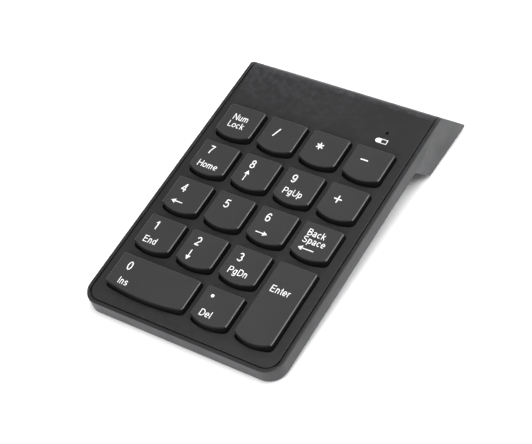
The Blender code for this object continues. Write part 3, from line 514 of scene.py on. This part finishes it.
# plain sans letters, one capital high: character -> (advance, centre lines of its strokes)
GLYPHS = {
    "0": (0.78, [bow(0.36, 0.5, 0.25, 0.4375, 90, 450)]),
    "1": (0.78, [stem(0.43), [(0.43, 0.93), (0.33, 0.82), (0.17, 0.73)]]),
    "2": (0.78, [bow(0.355, 0.68, 0.245, 0.2575, 165, -35) + [(0.12, 0.08)], bar(0.05, 0.63, FOOT)]),
    "3": (0.78, [bow(0.345, 0.72, 0.215, 0.2175, 155, -90), bow(0.345, 0.29, 0.265, 0.2275, 95, -160)]),
    "4": (0.78, [stem(0.50), [(0.49, 0.95), (0.08, 0.30)], bar(0.04, 0.67, 0.285)]),
    "5": (0.78, [bar(0.15, 0.61, HEAD), [(0.20, 0.99), (0.125, 0.49)],
                 bow(0.34, 0.335, 0.265, 0.27, 145, -158)]),
    "6": (0.78, [bow(0.365, 0.315, 0.245, 0.2525, 90, 450), bow(0.375, 0.5, 0.26, 0.4375, 38, 205)]),
    "7": (0.78, [bar(0.06, 0.66, HEAD), [(0.61, 0.92), (0.44, 0.68), (0.33, 0.40), (0.27, 0.0)]]),
    "8": (0.78, [bow(0.36, 0.735, 0.20, 0.2025, 90, 450), bow(0.36, 0.2975, 0.25, 0.235, 90, 450)]),
    "9": (0.78, [bow(0.355, 0.685, 0.245, 0.2525, 90, 450), bow(0.345, 0.5, 0.26, 0.4375, 218, 385)]),
    "B": (0.93, [stem(0.16), bar(0.16, 0.50, HEAD) + bow(0.50, 0.735, 0.185, 0.2025, 90, -90)
                 + [(0.16, WAIST)], bar(0.16, 0.52, WAIST) + bow(0.52, 0.296, 0.24, 0.234, 90, -90)
                 + [(0.16, FOOT)]]),
    "D": (1.00, [stem(0.16), bar(0.16, 0.45, HEAD) + bow(0.45, 0.5, 0.39, 0.4375, 90, -90)
                 + [(0.16, FOOT)]]),
    "E": (0.93, [stem(0.16), bar(0.16, 0.79, HEAD), bar(0.16, 0.74, WAIST), bar(0.16, 0.82, FOOT)]),
    "H": (1.00, [stem(0.15), stem(0.85), bar(0.15, 0.85, WAIST)]),
    "I": (0.39, [stem(0.19)]),
    "L": (0.78, [stem(0.15), bar(0.15, 0.73, FOOT)]),
    "N": (1.00, [stem(0.15), stem(0.85), [(0.17, 0.96), (0.83, 0.04)]]),
    "P": (0.93, [stem(0.16), bar(0.16, 0.53, HEAD) + bow(0.53, 0.70, 0.235, 0.2375, 90, -90)
                 + [(0.16, 0.4625)]]),
    "S": (0.93, [bow(0.45, 0.725, 0.27, 0.2125, 22, 262) + bow(0.46, 0.2775, 0.30, 0.215, 75, -168)]),
    "U": (1.00, [[(0.15, 1.0)] + bow(0.50, 0.38, 0.35, 0.3175, 180, 360) + [(0.85, 1.0)]]),
    "a": (0.78, [bow(0.34, 0.50, 0.22, 0.165, 160, 0) + [(0.56, 0.0)],
                 bow(0.32, 0.205, 0.225, 0.145, 90, 450)]),
    "c": (0.70, [bow(0.35, 0.3625, 0.25, 0.3025, 48, 312)]),
    "d": (0.78, [small_bowl(0.335, 0.23), stem(0.58)]),
    "e": (0.78, [[(0.09, 0.37), (0.615, 0.37)] + bow(0.36, 0.3625, 0.26, 0.3025, 5, 318)]),
    "g": (0.78, [small_bowl(0.335, 0.23), [(0.58, 0.73)] + bow(0.345, -0.02, 0.235, 0.195, 0, -155)]),
    "k": (0.70, [stem(0.14), [(0.59, 0.72), (0.16, 0.30)], [(0.31, 0.44), (0.62, 0.0)]]),
    "l": (0.31, [stem(0.15)]),
    "m": (1.16, [stem(0.13, 0.0, 0.73), bow(0.32, 0.46, 0.19, 0.205, 165, 0) + [(0.51, 0.0)],
                 bow(0.70, 0.46, 0.19, 0.205, 165, 0) + [(0.89, 0.0)]]),
    "n": (0.78, [stem(0.14, 0.0, 0.73), bow(0.35, 0.44, 0.21, 0.225, 165, 0) + [(0.56, 0.0)]]),
    "o": (0.78, [small_bowl(0.36, 0.265)]),
    "p": (0.78, [small_bowl(0.385, 0.23), stem(0.14, -0.28, 0.73)]),
    "r": (0.46, [stem(0.14, 0.0, 0.73), bow(0.37, 0.42, 0.23, 0.245, 165, 75)]),
    "s": (0.70, [bow(0.33, 0.515, 0.20, 0.15, 22, 262) + bow(0.335, 0.21, 0.215, 0.15, 75, -165)]),
    "t": (0.42, [[(0.20, 0.95)] + bow(0.31, 0.17, 0.11, 0.11, 180, 275), bar(0.05, 0.36, SMALL)]),
    "u": (0.78, [[(0.14, 0.73)] + bow(0.35, 0.285, 0.21, 0.225, 180, 345), stem(0.56, 0.0, 0.73)]),
}


def word_strokes(text, height):
    """Centre lines of a word's strokes in metres, centred on the word's own box."""
    strokes, start = [], 0.0
    for letter in text:
        advance, lines = GLYPHS[letter]
        strokes += [[Vector(((start + x) * NARROW, y)) * height for x, y in line] for line in lines]
        start += advance
    spots = [point for line in strokes for point in line]
    low = Vector((min(spot.x for spot in spots), min(spot.y for spot in spots)))
    high = Vector((max(spot.x for spot in spots), max(spot.y for spot in spots)))
    return [[point - (low + high) / 2 for point in line] for line in strokes]


def ribbon(work, line, width):
    """Adds flat faces of even width along a line of points, square at its ends."""
    closed = (line[0] - line[-1]).length < width / 100
    points = line[:-1] if closed else line
    count = len(points)
    pairs = []
    for index, point in enumerate(points):
        before = points[index - 1] if closed or index else point
        after = points[(index + 1) % count] if closed or index < count - 1 else point
        arrive = (point - before).normalized() if before is not point else (after - point).normalized()
        leave = (after - point).normalized() if after is not point else arrive
        along = (arrive + leave).normalized()
        side = Vector((-along.y, along.x)) * (width / 2 / max(along.dot(leave), 0.5))
        pairs.append([work.verts.new((*spot, 0.0)) for spot in (point - side, point + side)])
    for index in range(count if closed else count - 1):
        (first, second), (third, fourth) = pairs[index], pairs[(index + 1) % count]
        work.faces.new((first, third, fourth, second))


# ---------------------------------------------------------------- printed marks
STROKE = 0.00046


def bar_points(length, angle, width=STROKE):
    """Rounded stroke through the origin."""
    half, end = width / 2, length / 2 - width / 2
    points = arc(Vector((end, 0.0)), half, -90.0, 90.0, 6) + arc(Vector((-end, 0.0)), half, 90.0, 270.0, 6)
    turn = Matrix.Rotation(math.radians(angle), 2)
    return [turn @ point for point in points]


def arrow_points(length, angle):
    """Thin arrow pointing along an angle, centred on its middle."""
    head, wide, half = 0.0019, 0.00105, STROKE / 2 - 0.00004
    tip, neck, tail = length / 2, length / 2 - head, -length / 2
    points = [(tip, 0.0), (neck, wide), (neck + 0.0002, half), (tail, half), (tail, -half),
              (neck + 0.0002, -half), (neck, -wide)]
    turn = Matrix.Rotation(math.radians(angle), 2)
    return [turn @ Vector(point) for point in points]


ARROW_TURNS = {"arrow right": 0.0, "arrow up": 90.0, "arrow left": 180.0, "arrow down": 270.0}
STROKE_TURNS = {"slash": (69.0,), "bar": (0.0,), "cross": (0.0, 90.0), "star": (30.0, 90.0, 150.0)}


def mark_faces(work, mark, size, centre):
    """Adds a mark's flat faces to the bmesh, centred there."""
    length = size * MM
    if mark in ARROW_TURNS:
        outlines = [arrow_points(length, ARROW_TURNS[mark])]
    elif mark in STROKE_TURNS:
        outlines = [bar_points(length, turn, STROKE * 1.15) for turn in STROKE_TURNS[mark]]
    elif mark == "dot":
        outlines = [bar_points(length, 0.0, length)]
    else:
        for line in word_strokes(mark, length):
            ribbon(work, [centre + point for point in line], PEN * length)
        return
    for outline in outlines:
        work.faces.new([work.verts.new((*(centre + point), 0.0)) for point in outline])


def raise_print(work, height):
    """Turns flat faces into a thin closed film that follows a surface given as a function of x and y."""
    bmesh.ops.triangulate(work, faces=work.faces)
    bmesh.ops.remove_doubles(work, verts=work.verts, dist=1e-8)
    for face in work.faces:
        if face.normal.z < 0:
            face.normal_flip()
    lower = list(work.verts)
    made = bmesh.ops.extrude_face_region(work, geom=list(work.faces), use_keep_orig=True)["geom"]
    upper = [item for item in made if isinstance(item, bmesh.types.BMVert)]
    for vert in lower:
        vert.co.z = height(vert.co) - INK
    for vert in upper:
        vert.co.z = height(vert.co) + INK


def key_legend(name, materials):
    _, _, columns, rows = KEYS[name]
    place = key_place(name)
    middle = Vector((0.0, key_middle(rows)))
    work = bmesh.new()
    for mark, size, x, y in LEGENDS[name]:
        mark_faces(work, mark, size, middle + Vector((x, y)) * MM)
    raise_print(work, lambda point: KEY_TOP - dish(point, columns, rows))
    bmesh.ops.translate(work, vec=(*place, 0.0), verts=work.verts)
    legend = to_object(name.replace("key_", "legend_"), work, [materials["white_print"]])
    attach(legend, name)


def battery_icon(materials):
    """Half-filled battery mark printed beside the status light."""
    half_x, half_y, line = 0.00250, 0.00108, 0.00030
    work = bmesh.new()
    left = arc(Vector((-half_x + half_y, 0.0)), half_y, 90.0, 270.0, 10)
    body = left + [Vector((0.0, -half_y)), Vector((0.0, half_y))]
    shell = [[(0.0, -half_y), (half_x, -half_y), (half_x, -half_y + line), (0.0, -half_y + line)],
             [(0.0, half_y - line), (half_x, half_y - line), (half_x, half_y), (0.0, half_y)],
             [(half_x - line, -half_y + line), (half_x, -half_y + line),
              (half_x, half_y - line), (half_x - line, half_y - line)]]
    for outline in [body] + [[Vector(point) for point in part] for part in shell]:
        work.faces.new([work.verts.new((*(ICON_PLACE + point), 0.0)) for point in outline])
    raise_print(work, lambda point: 0.0)
    icon = to_object("battery_icon", work, [materials["white_print"]])
    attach(icon, "housing")


# ---------------------------------------------------------------- shells taken over from the frame
def clean_copy(node):
    """The node's mesh in deck space, its split vertices welded and its flat faces whole."""
    work = bmesh.new()
    work.from_mesh(node.data)
    bmesh.ops.transform(work, matrix=DECK.inverted(), verts=work.verts)
    bmesh.ops.remove_doubles(work, verts=work.verts, dist=1e-6)
    bmesh.ops.dissolve_limit(work, angle_limit=math.radians(0.3), verts=work.verts, edges=work.edges)
    bmesh.ops.dissolve_degenerate(work, dist=1e-6, edges=work.edges)
    return work


def round_edges(work, wanted, radius, segments=2):
    """Bevels the sharp convex edges that a test picks."""
    picked = []
    for edge in work.edges:
        if len(edge.link_faces) == 2 and edge.is_convex and edge.calc_face_angle() > math.radians(28):
            if wanted(edge.verts[0].co) and wanted(edge.verts[1].co):
                picked.append(edge)
    bmesh.ops.bevel(work, geom=picked, offset=radius, segments=segments, profile=0.5,
                    affect="EDGES", clamp_overlap=False)


def take_over(frame, node, name, finishes, roundings, body="housing", finish_of=lambda face: 0):
    """Replaces a node with a copy that has small edge radii; roundings are (edge test, radius, segments)."""
    work = clean_copy(frame["nodes"][node])
    for wanted, radius, segments in roundings:
        round_edges(work, wanted, radius, segments)
    work.normal_update()
    for face in work.faces:
        face.material_index = finish_of(face)
    stand_for(to_object(name, work, finishes), node, body, 32.0)


DECK_THICK = 0.0013
CASE_HALF = 0.04285
CASE_FRONT = -0.0986
CASE_CORNER = 0.0070
RIM_WIDTH = 0.0016
SLAB_BOTTOM = -0.0065
SLAB_END = -0.0010          # the slab's underside stops short of the hump's front
RIM_END = -0.0030           # below the rounding of the rim
HUMP_LOW = Vector((0.0091, -0.0178))
BOTTOM_ALONG = (Vector((0.0376, -0.0200)) - HUMP_LOW).normalized()
BOTTOM_UP = Vector((-BOTTOM_ALONG.y, BOTTOM_ALONG.x))
OPENINGS_FRONT, OPENINGS_REAR, OPENINGS_LOW = 0.0055, 0.0260, -0.0160     # left wall, deck frame
ALMOST, ROUGHLY = 0.00001, 0.0001
PLAIN, PAINTED_SHADE, RIM = 0, 1, 2     # places of a shell's finishes; the second one is painted shade
UPRIGHT, LEANING, LEVEL = 0.4, 0.3, 0.95    # upward parts of a face's normal
SEAM_LIP = 0.00003          # down to here a cover's edge still catches light
SEAM_BEVEL = 0.00025
RIM_DEPTH = 0.0005          # the rim's rounding ends above this


def inset(point):
    """How far a point lies inside the case's outline, seen from above."""
    across = abs(point.x) - (CASE_HALF - CASE_CORNER)
    ahead = CASE_FRONT + CASE_CORNER - point.y
    outer = Vector((max(across, 0.0), max(ahead, 0.0))).length + min(max(across, ahead), 0.0)
    return CASE_CORNER - outer


def cover_painted_shade(face):
    """Upright faces of the cover's outline and key openings get the dark plastic as painted shade."""
    middle = face.calc_center_median()
    upright = abs(face.normal.z) < UPRIGHT
    return PAINTED_SHADE if upright and -DECK_THICK < middle.z < -SEAM_LIP else PLAIN


def case_rim_and_painted_shade(face):
    """The seam's side of the rim gets the dark plastic as painted shade, and the rim itself is as dark as
    the deck.
    """
    middle = face.calc_center_median()
    beside_seam = inset(middle) > RIM_WIDTH - SEAM_BEVEL - ROUGHLY
    if middle.z > SLAB_BOTTOM / 2 and beside_seam and face.normal.z < LEVEL:
        return PAINTED_SHADE
    return RIM if middle.z > -RIM_DEPTH and face.normal.z > LEANING else PLAIN


def cover_edge(point):
    return abs(point.z) < ALMOST


def seam_edge(point):
    """Inner edge of the rim, beside the seam."""
    return abs(point.z) < ALMOST and abs(inset(point) - RIM_WIDTH) < ROUGHLY


def opening_edge(point):
    """Edges of the switch recess and the receiver bay in the left wall."""
    across = OPENINGS_FRONT < point.y < OPENINGS_REAR
    return point.x < ALMOST - CASE_HALF and across and OPENINGS_LOW < point.z < RIM_END


def case_edge(point):
    """Lower edge of the slab's wall, and the outline of the side walls."""
    under = abs(point.z - SLAB_BOTTOM) < ALMOST and point.y < SLAB_END
    side = abs(point.x) > CASE_HALF - ALMOST and point.z < RIM_END
    return under or (side and not opening_edge(point))


def door_face(point):
    return abs((point.yz - HUMP_LOW).dot(BOTTOM_UP)) < ALMOST


def shells(frame, materials):
    # shade is the dark plastic that paints shade onto the seam's walls
    deck, case, shade = (materials[key] for key in ("deck_plastic", "case_plastic", "painted_shade_plastic"))
    take_over(frame, "top_cover", "deck_cover", [deck, shade],
              [(cover_edge, 0.00008, 2)], finish_of=cover_painted_shade)
    take_over(frame, "bottom_case", "case_tub", [case, shade, deck],
              [(case_edge, 0.0004, 2), (seam_edge, SEAM_BEVEL, 1)], finish_of=case_rim_and_painted_shade)
    take_over(frame, "battery_door", "battery_hatch", [case],
              [(door_face, 0.00012, 2)], body="battery_door")
    take_over(frame, "receiver_shell", "plug_shell", [materials["nickel_plate"]],
              [(lambda point: True, 0.00006, 2)], body="usb_receiver")


# ---------------------------------------------------------------- silicone domes
SHEET_LOW, SHEET_HIGH = -0.00415, -0.00390
SHEET_HALF, SHEET_FRONT, SHEET_REAR = 0.0362, -0.0940, 0.0010
SHEET_MIDDLE = (SHEET_FRONT + SHEET_REAR) / 2
SHEET_CORNER = 0.0015
DOME_TOP = -0.00210


def dome_web(materials):
    """Flat part of the silicone sheet, with rounded corners."""
    points = []
    for x, y, turn in ((SHEET_HALF, SHEET_REAR, 0.0), (-SHEET_HALF, SHEET_REAR, 90.0),
                       (-SHEET_HALF, SHEET_FRONT, 180.0), (SHEET_HALF, SHEET_FRONT, 270.0)):
        inward = Vector((-math.copysign(SHEET_CORNER, x), math.copysign(SHEET_CORNER, SHEET_MIDDLE - y)))
        points += arc(Vector((x, y)) + inward, SHEET_CORNER, turn, turn + 90.0, 5)
    work = bmesh.new()
    lower, upper = add_loop(work, points, SHEET_LOW), add_loop(work, points, SHEET_HIGH)
    bridge(work, lower, upper)
    work.faces.new(lower)
    work.faces.new(upper)
    web = to_object("dome_web", work, [materials["silicone_rubber"]])
    stand_for(web, "dome_sheet", "housing")


def dome(name, materials):
    """Solid rubber dome under a key, with a dimple in its crown; the real one flattens as the key goes down.
    """
    place = key_place(name)
    spot = Vector((place.x, place.y + key_middle(KEYS[name][3]), 0.0))
    rings = [(SHEET_HIGH, 0.0037), (SHEET_HIGH + 0.0002, 0.00345), (-0.0031, 0.0031), (-0.0026, 0.0027),
             (DOME_TOP - 0.0003, 0.00245), (DOME_TOP - 0.00008, 0.0023), (DOME_TOP, 0.0020),
             (DOME_TOP - 0.00012, 0.0012)]
    work = bmesh.new()
    lathe(work, rings, spot, Matrix.Identity(3), 32)
    cup = to_object(name.replace("key_", "dome_"), work, [materials["silicone_rubber"]])
    cup.data.shade_smooth()
    cup.data.set_sharp_from_angle(angle=math.radians(40.0))
    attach(cup, "housing")
    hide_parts("dome_sheet")
    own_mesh(cup)


# ---------------------------------------------------------------- receiver, cells, screws, feet and switch
RECEIVER_AXIS = Vector((0.0172, -0.0110))
CAP_LEFT = -0.04275
CAP_LENGTH = 0.0065
CAP_HALF_Y = 0.0076
CAP_HALF_Z = 0.0033


def receiver_cap(materials):
    """Grip of the receiver: rounded block with four grooves round it and softened ends."""
    grooves, depth, slope, flat = 4, 0.00055, 0.00015, 0.0004
    pitch = CAP_LENGTH / (grooves + 0.5)
    steps = [(0.0, 0.0005), (0.00015, 0.00015), (0.0004, 0.0)]
    for groove in range(grooves):
        start = (groove + 0.62) * pitch
        steps += [(start, 0.0), (start + slope, depth), (start + slope + flat, depth),
                  (start + 2 * slope + flat, 0.0)]
    steps += [(CAP_LENGTH - 0.0003, 0.0), (CAP_LENGTH, 0.0003)]
    work = bmesh.new()
    sections = []
    for along, inset in steps:
        outline = soft_rectangle(RECEIVER_AXIS, CAP_HALF_Y - inset, CAP_HALF_Z - inset * 0.4, 0.0010)
        sections.append((CAP_LEFT + along, outline))
    loft(work, sections)
    cap = to_object("receiver_grip", work, [materials["key_plastic"]])
    stand_for(cap, "receiver_cap", "usb_receiver", 50.0)


CELL_RADIUS = 0.00525
CELL_NUB = 0.0010
ALONG_X = Matrix.Rotation(math.pi / 2, 3, "Y")


def cell(frame, name, nub_side, materials):
    """Dry cell: steel ends with rolled shoulders, printed sleeve with a plain band by the positive end."""
    low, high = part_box(name)
    length = high.x - low.x
    centre = DECK.inverted() @ ((low + high) / 2)
    turn = ALONG_X if nub_side > 0 else Matrix.Rotation(math.pi, 3, "Z") @ ALONG_X
    foot = Vector((centre.x, centre.y, centre.z)) - turn @ Vector((0.0, 0.0, length / 2))
    shoulder = length - CELL_NUB
    roll, lip = 0.0005, 0.0009
    inner = CELL_RADIUS - lip
    rings = [(0.00025, inner - 0.0008), (0.00025, inner - 0.0002), (0.0, inner), (0.0, CELL_RADIUS - roll),
             (0.0002, CELL_RADIUS - 0.0001), (roll, CELL_RADIUS), (length * 0.74, CELL_RADIUS),
             (shoulder - roll, CELL_RADIUS), (shoulder - 0.0002, CELL_RADIUS - 0.0001),
             (shoulder, CELL_RADIUS - roll), (shoulder, inner), (shoulder - 0.00025, inner - 0.0003),
             (shoulder - 0.00025, 0.0022), (shoulder, 0.0019), (length - 0.0002, 0.0019),
             (length, 0.0017)]
    steel, sleeve, band = 0, 1, 2
    finish = {3: sleeve, 4: sleeve, 5: sleeve, 6: band, 7: band, 8: band}
    work = bmesh.new()
    lathe(work, rings, foot, turn, 48, lambda index: finish.get(index, steel))
    finishes = [materials[key] for key in ("nickel_plate", "cell_sleeve", "cell_band")]
    stand_for(to_object(name + "_can", work, finishes), name, "housing", 40.0)


SCREW_PLACES = [(side * x, y) for side in (-1, 1)
                for x, y in ((0.0383, -0.0933), (0.0391, -0.0480), (0.0391, -0.0035))]
SCREW_HEAD_RADIUS = 0.0016
SCREW_RADIUS = 0.0008


def screw(name, x, y, materials):
    """Pan-head screw with a cross recess, its head down in the case."""
    low, seat, tip = SLAB_BOTTOM + 0.00005, SLAB_BOTTOM + 0.00045, -0.0022
    rings = [(low, SCREW_HEAD_RADIUS - 0.0003), (low + 0.00006, SCREW_HEAD_RADIUS - 0.0001),
             (low + 0.0002, SCREW_HEAD_RADIUS), (seat, SCREW_HEAD_RADIUS), (seat, SCREW_RADIUS)]
    pitch = 0.0004
    turns = int((tip - seat - 0.0004) / pitch)
    for index in range(turns):
        start = seat + pitch * (index + 0.5)
        rings += [(start, SCREW_RADIUS - 0.0001), (start + pitch / 2, SCREW_RADIUS)]
    rings += [(tip - 0.0002, SCREW_RADIUS - 0.0001), (tip, SCREW_RADIUS - 0.0005)]
    work = bmesh.new()
    lathe(work, rings, Vector((x, y, 0.0)), Matrix.Identity(3), 32)
    head = to_object(name + "_head", work, [materials["zinc_steel"]])
    long, short = 0.00095, 0.00020
    for half_x, half_y in ((long, short), (short, long)):
        corners = [Vector((x + side_x * half_x, y + side_y * half_y))
                   for side_x, side_y in ((-1, -1), (1, -1), (1, 1), (-1, 1))]
        slot = bmesh.new()
        lower, upper = add_loop(slot, corners, low - 0.001), add_loop(slot, corners, low + 0.00026)
        bridge(slot, lower, upper)
        slot.faces.new(lower)
        slot.faces.new(upper)
        carve(head, to_object("slot", slot, []))
    stand_for(head, name, "housing")


def foot(name, materials):
    """Moulded rubber pad with a softened rim."""
    low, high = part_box(name)
    middle = (low + high) / 2
    radius = (high.x - low.x) / 2
    rings = [(low.z, radius - 0.00045), (low.z + 0.0001, radius - 0.00015), (low.z + 0.0004, radius),
             (high.z, radius)]
    work = bmesh.new()
    lathe(work, rings, Vector((middle.x, middle.y, 0.0)), Matrix.Identity(3), 48)
    pad = to_object(name + "_pad", work, [materials["foot_rubber"]], Matrix.Identity(4))
    stand_for(pad, name, "housing")


SWITCH_Y, SWITCH_Z = 0.00925, -0.0043
SWITCH_HALF, SWITCH_HALF_Z = 0.0012, 0.0005
SWITCH_LEFT, SWITCH_RIGHT = -0.04275, -0.0395


def switch_knob(materials):
    """Slider with four finger ridges on its outer face."""
    ridges, depth = 4, 0.00022
    pitch = 2 * (SWITCH_HALF - 0.0001) / ridges
    outline = [Vector((SWITCH_RIGHT, SWITCH_Y + SWITCH_HALF)),
               Vector((SWITCH_LEFT + depth, SWITCH_Y + SWITCH_HALF))]
    for index in range(ridges):
        start = SWITCH_Y + SWITCH_HALF - 0.0001 - pitch * index
        outline += [Vector((SWITCH_LEFT, start - pitch * 0.25)), Vector((SWITCH_LEFT, start - pitch * 0.55)),
                    Vector((SWITCH_LEFT + depth, start - pitch * 0.8))]
    outline += [Vector((SWITCH_LEFT + depth, SWITCH_Y - SWITCH_HALF)),
                Vector((SWITCH_RIGHT, SWITCH_Y - SWITCH_HALF))]
    work = bmesh.new()
    lower = add_loop(work, outline, SWITCH_Z - SWITCH_HALF_Z)
    upper = add_loop(work, outline, SWITCH_Z + SWITCH_HALF_Z)
    bridge(work, lower, upper)
    work.faces.new(lower)
    work.faces.new(upper)
    round_edges(work, lambda point: abs(abs(point.z - SWITCH_Z) - SWITCH_HALF_Z) < 0.00001, 0.00006)
    stand_for(to_object("switch_slider", work, [materials["key_plastic"]]), "power_switch_knob",
              "power_switch_knob")


def small_pieces(frame, materials):
    receiver_cap(materials)
    cell(frame, "cell_front", -1, materials)
    cell(frame, "cell_rear", 1, materials)
    for index, (x, y) in enumerate(SCREW_PLACES):
        screw(f"case_screw_{index + 1}", x, y, materials)
    for end in ("front", "rear"):
        for side in ("left", "right"):
            foot(f"{end}_foot_{side}", materials)
    switch_knob(materials)


# ---------------------------------------------------------------- plain frame nodes
NODE_FINISH = {
    "backing_plate": "zinc_steel", "membrane_circuit": "membrane_film", "membrane_tail": "membrane_film",
    "main_board": "circuit_board", "radio_chip": "chip_resin",
    "crystal": "zinc_steel", "status_led": "led_resin", "led_light_pipe": "led_resin",
    "ribbon_connector": "cream_nylon", "power_switch_body": "zinc_steel",
    "negative_spring": "nickel_plate", "link_spring": "nickel_plate", "negative_contact": "nickel_plate",
    "positive_contact": "nickel_plate", "link_contact": "nickel_plate",
    "zero_key_stabiliser": "zinc_steel", "enter_key_stabiliser": "zinc_steel",
    "receiver_tongue": "chip_resin", "plug_contact_1": "gold_plate", "plug_contact_2": "gold_plate",
    "plug_contact_3": "gold_plate", "plug_contact_4": "gold_plate",
}


def finish_nodes(frame, materials):
    for node, finish in NODE_FINISH.items():
        mesh = frame["nodes"][node].data
        for index in range(len(mesh.materials)):
            mesh.materials[index] = materials[finish]


# ---------------------------------------------------------------- stage, lights and camera
CAMERA_PLACE = Vector((0.2760844, -0.2968085, 0.4269076))
CAMERA_AIM = Vector((0.0030536, -0.0109554, 0.0100))
CAMERA_ROLL = math.radians(14.926)
LENS = 105.58
HORIZON_LIGHT = 0.9
ZENITH_LIGHT = 0.1


def floor(material):
    work = bmesh.new()
    bmesh.ops.create_grid(work, x_segments=8, y_segments=8, size=3.0)
    obj = to_object("studio_floor", work, [material], Matrix.Identity(4))


def area_light(name, place, aim, size, power, colour=(1.0, 1.0, 1.0)):
    light = bpy.data.lights.new(name, "AREA")
    light.shape = "RECTANGLE"
    light.size, light.size_y = size
    light.energy = power
    light.color = colour
    obj = bpy.data.objects.new(name, light)
    obj.location = place
    obj.rotation_euler = (Vector(aim) - Vector(place)).to_track_quat("-Z", "Y").to_euler()
    bpy.context.scene.collection.objects.link(obj)


def studio_world():
    """Soft surround, brightest at the horizon and dimmer overhead."""
    world = bpy.data.worlds.new("studio")
    world.use_nodes = True
    nodes, links = world.node_tree.nodes, world.node_tree.links
    background = nodes["Background"]
    background.inputs["Color"].default_value = (0.97, 0.98, 1.0, 1.0)
    place = nodes.new("ShaderNodeTexCoord")
    split = nodes.new("ShaderNodeSeparateXYZ")
    fade = nodes.new("ShaderNodeMapRange")
    fade.interpolation_type = "SMOOTHSTEP"
    for socket, value in (("From Min", 0.30), ("From Max", 0.88),
                          ("To Min", HORIZON_LIGHT), ("To Max", ZENITH_LIGHT)):
        fade.inputs[socket].default_value = value
    links.new(place.outputs["Generated"], split.inputs["Vector"])
    links.new(split.outputs["Z"], fade.inputs["Value"])
    links.new(fade.outputs["Result"], background.inputs["Strength"])
    return world


def studio():
    scene = bpy.context.scene
    scene.world = studio_world()
    scene.view_settings.view_transform = "Standard"
    paper = Surface("studio_paper", (0.90, 0.90, 0.90), 0.85, specular=0.2)
    paper.mottle(0.08, 0.01, 0.05).grain(0.0008, 0.00001)
    floor(paper.material)
    area_light("overhead", (0.25, 0.10, 0.85), (0.0, 0.0, 0.0), (0.8, 0.8), 10.3)
    area_light("rear_strip", (0.70, 0.38, 0.43), (0.0, 0.0, 0.0), (0.4, 0.2), 1.8)
    area_light("front_fill", (-0.06, -0.80, 0.45), (0.0, 0.0, 0.0), (0.6, 0.4), 8.0)
    lens = bpy.data.cameras.new("photo_camera")
    lens.lens = LENS
    lens.sensor_width = 36.0
    lens.clip_start = 0.01
    camera = bpy.data.objects.new("photo_camera", lens)
    aim = (CAMERA_AIM - CAMERA_PLACE).to_track_quat("-Z", "Y")
    turn = aim.to_matrix().to_4x4() @ Matrix.Rotation(-CAMERA_ROLL, 4, "Z")
    camera.matrix_world = Matrix.Translation(CAMERA_PLACE) @ turn
    scene.collection.objects.link(camera)
    scene.camera = camera


# ---------------------------------------------------------------- build
def main():
    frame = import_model()
    materials = make_materials()
    finish_nodes(frame, materials)
    shells(frame, materials)
    small_pieces(frame, materials)
    for name in KEYS:
        keycap(name, materials)
        key_legend(name, materials)
        dome(name, materials)
    dome_web(materials)
    battery_icon(materials)
    studio()


main()
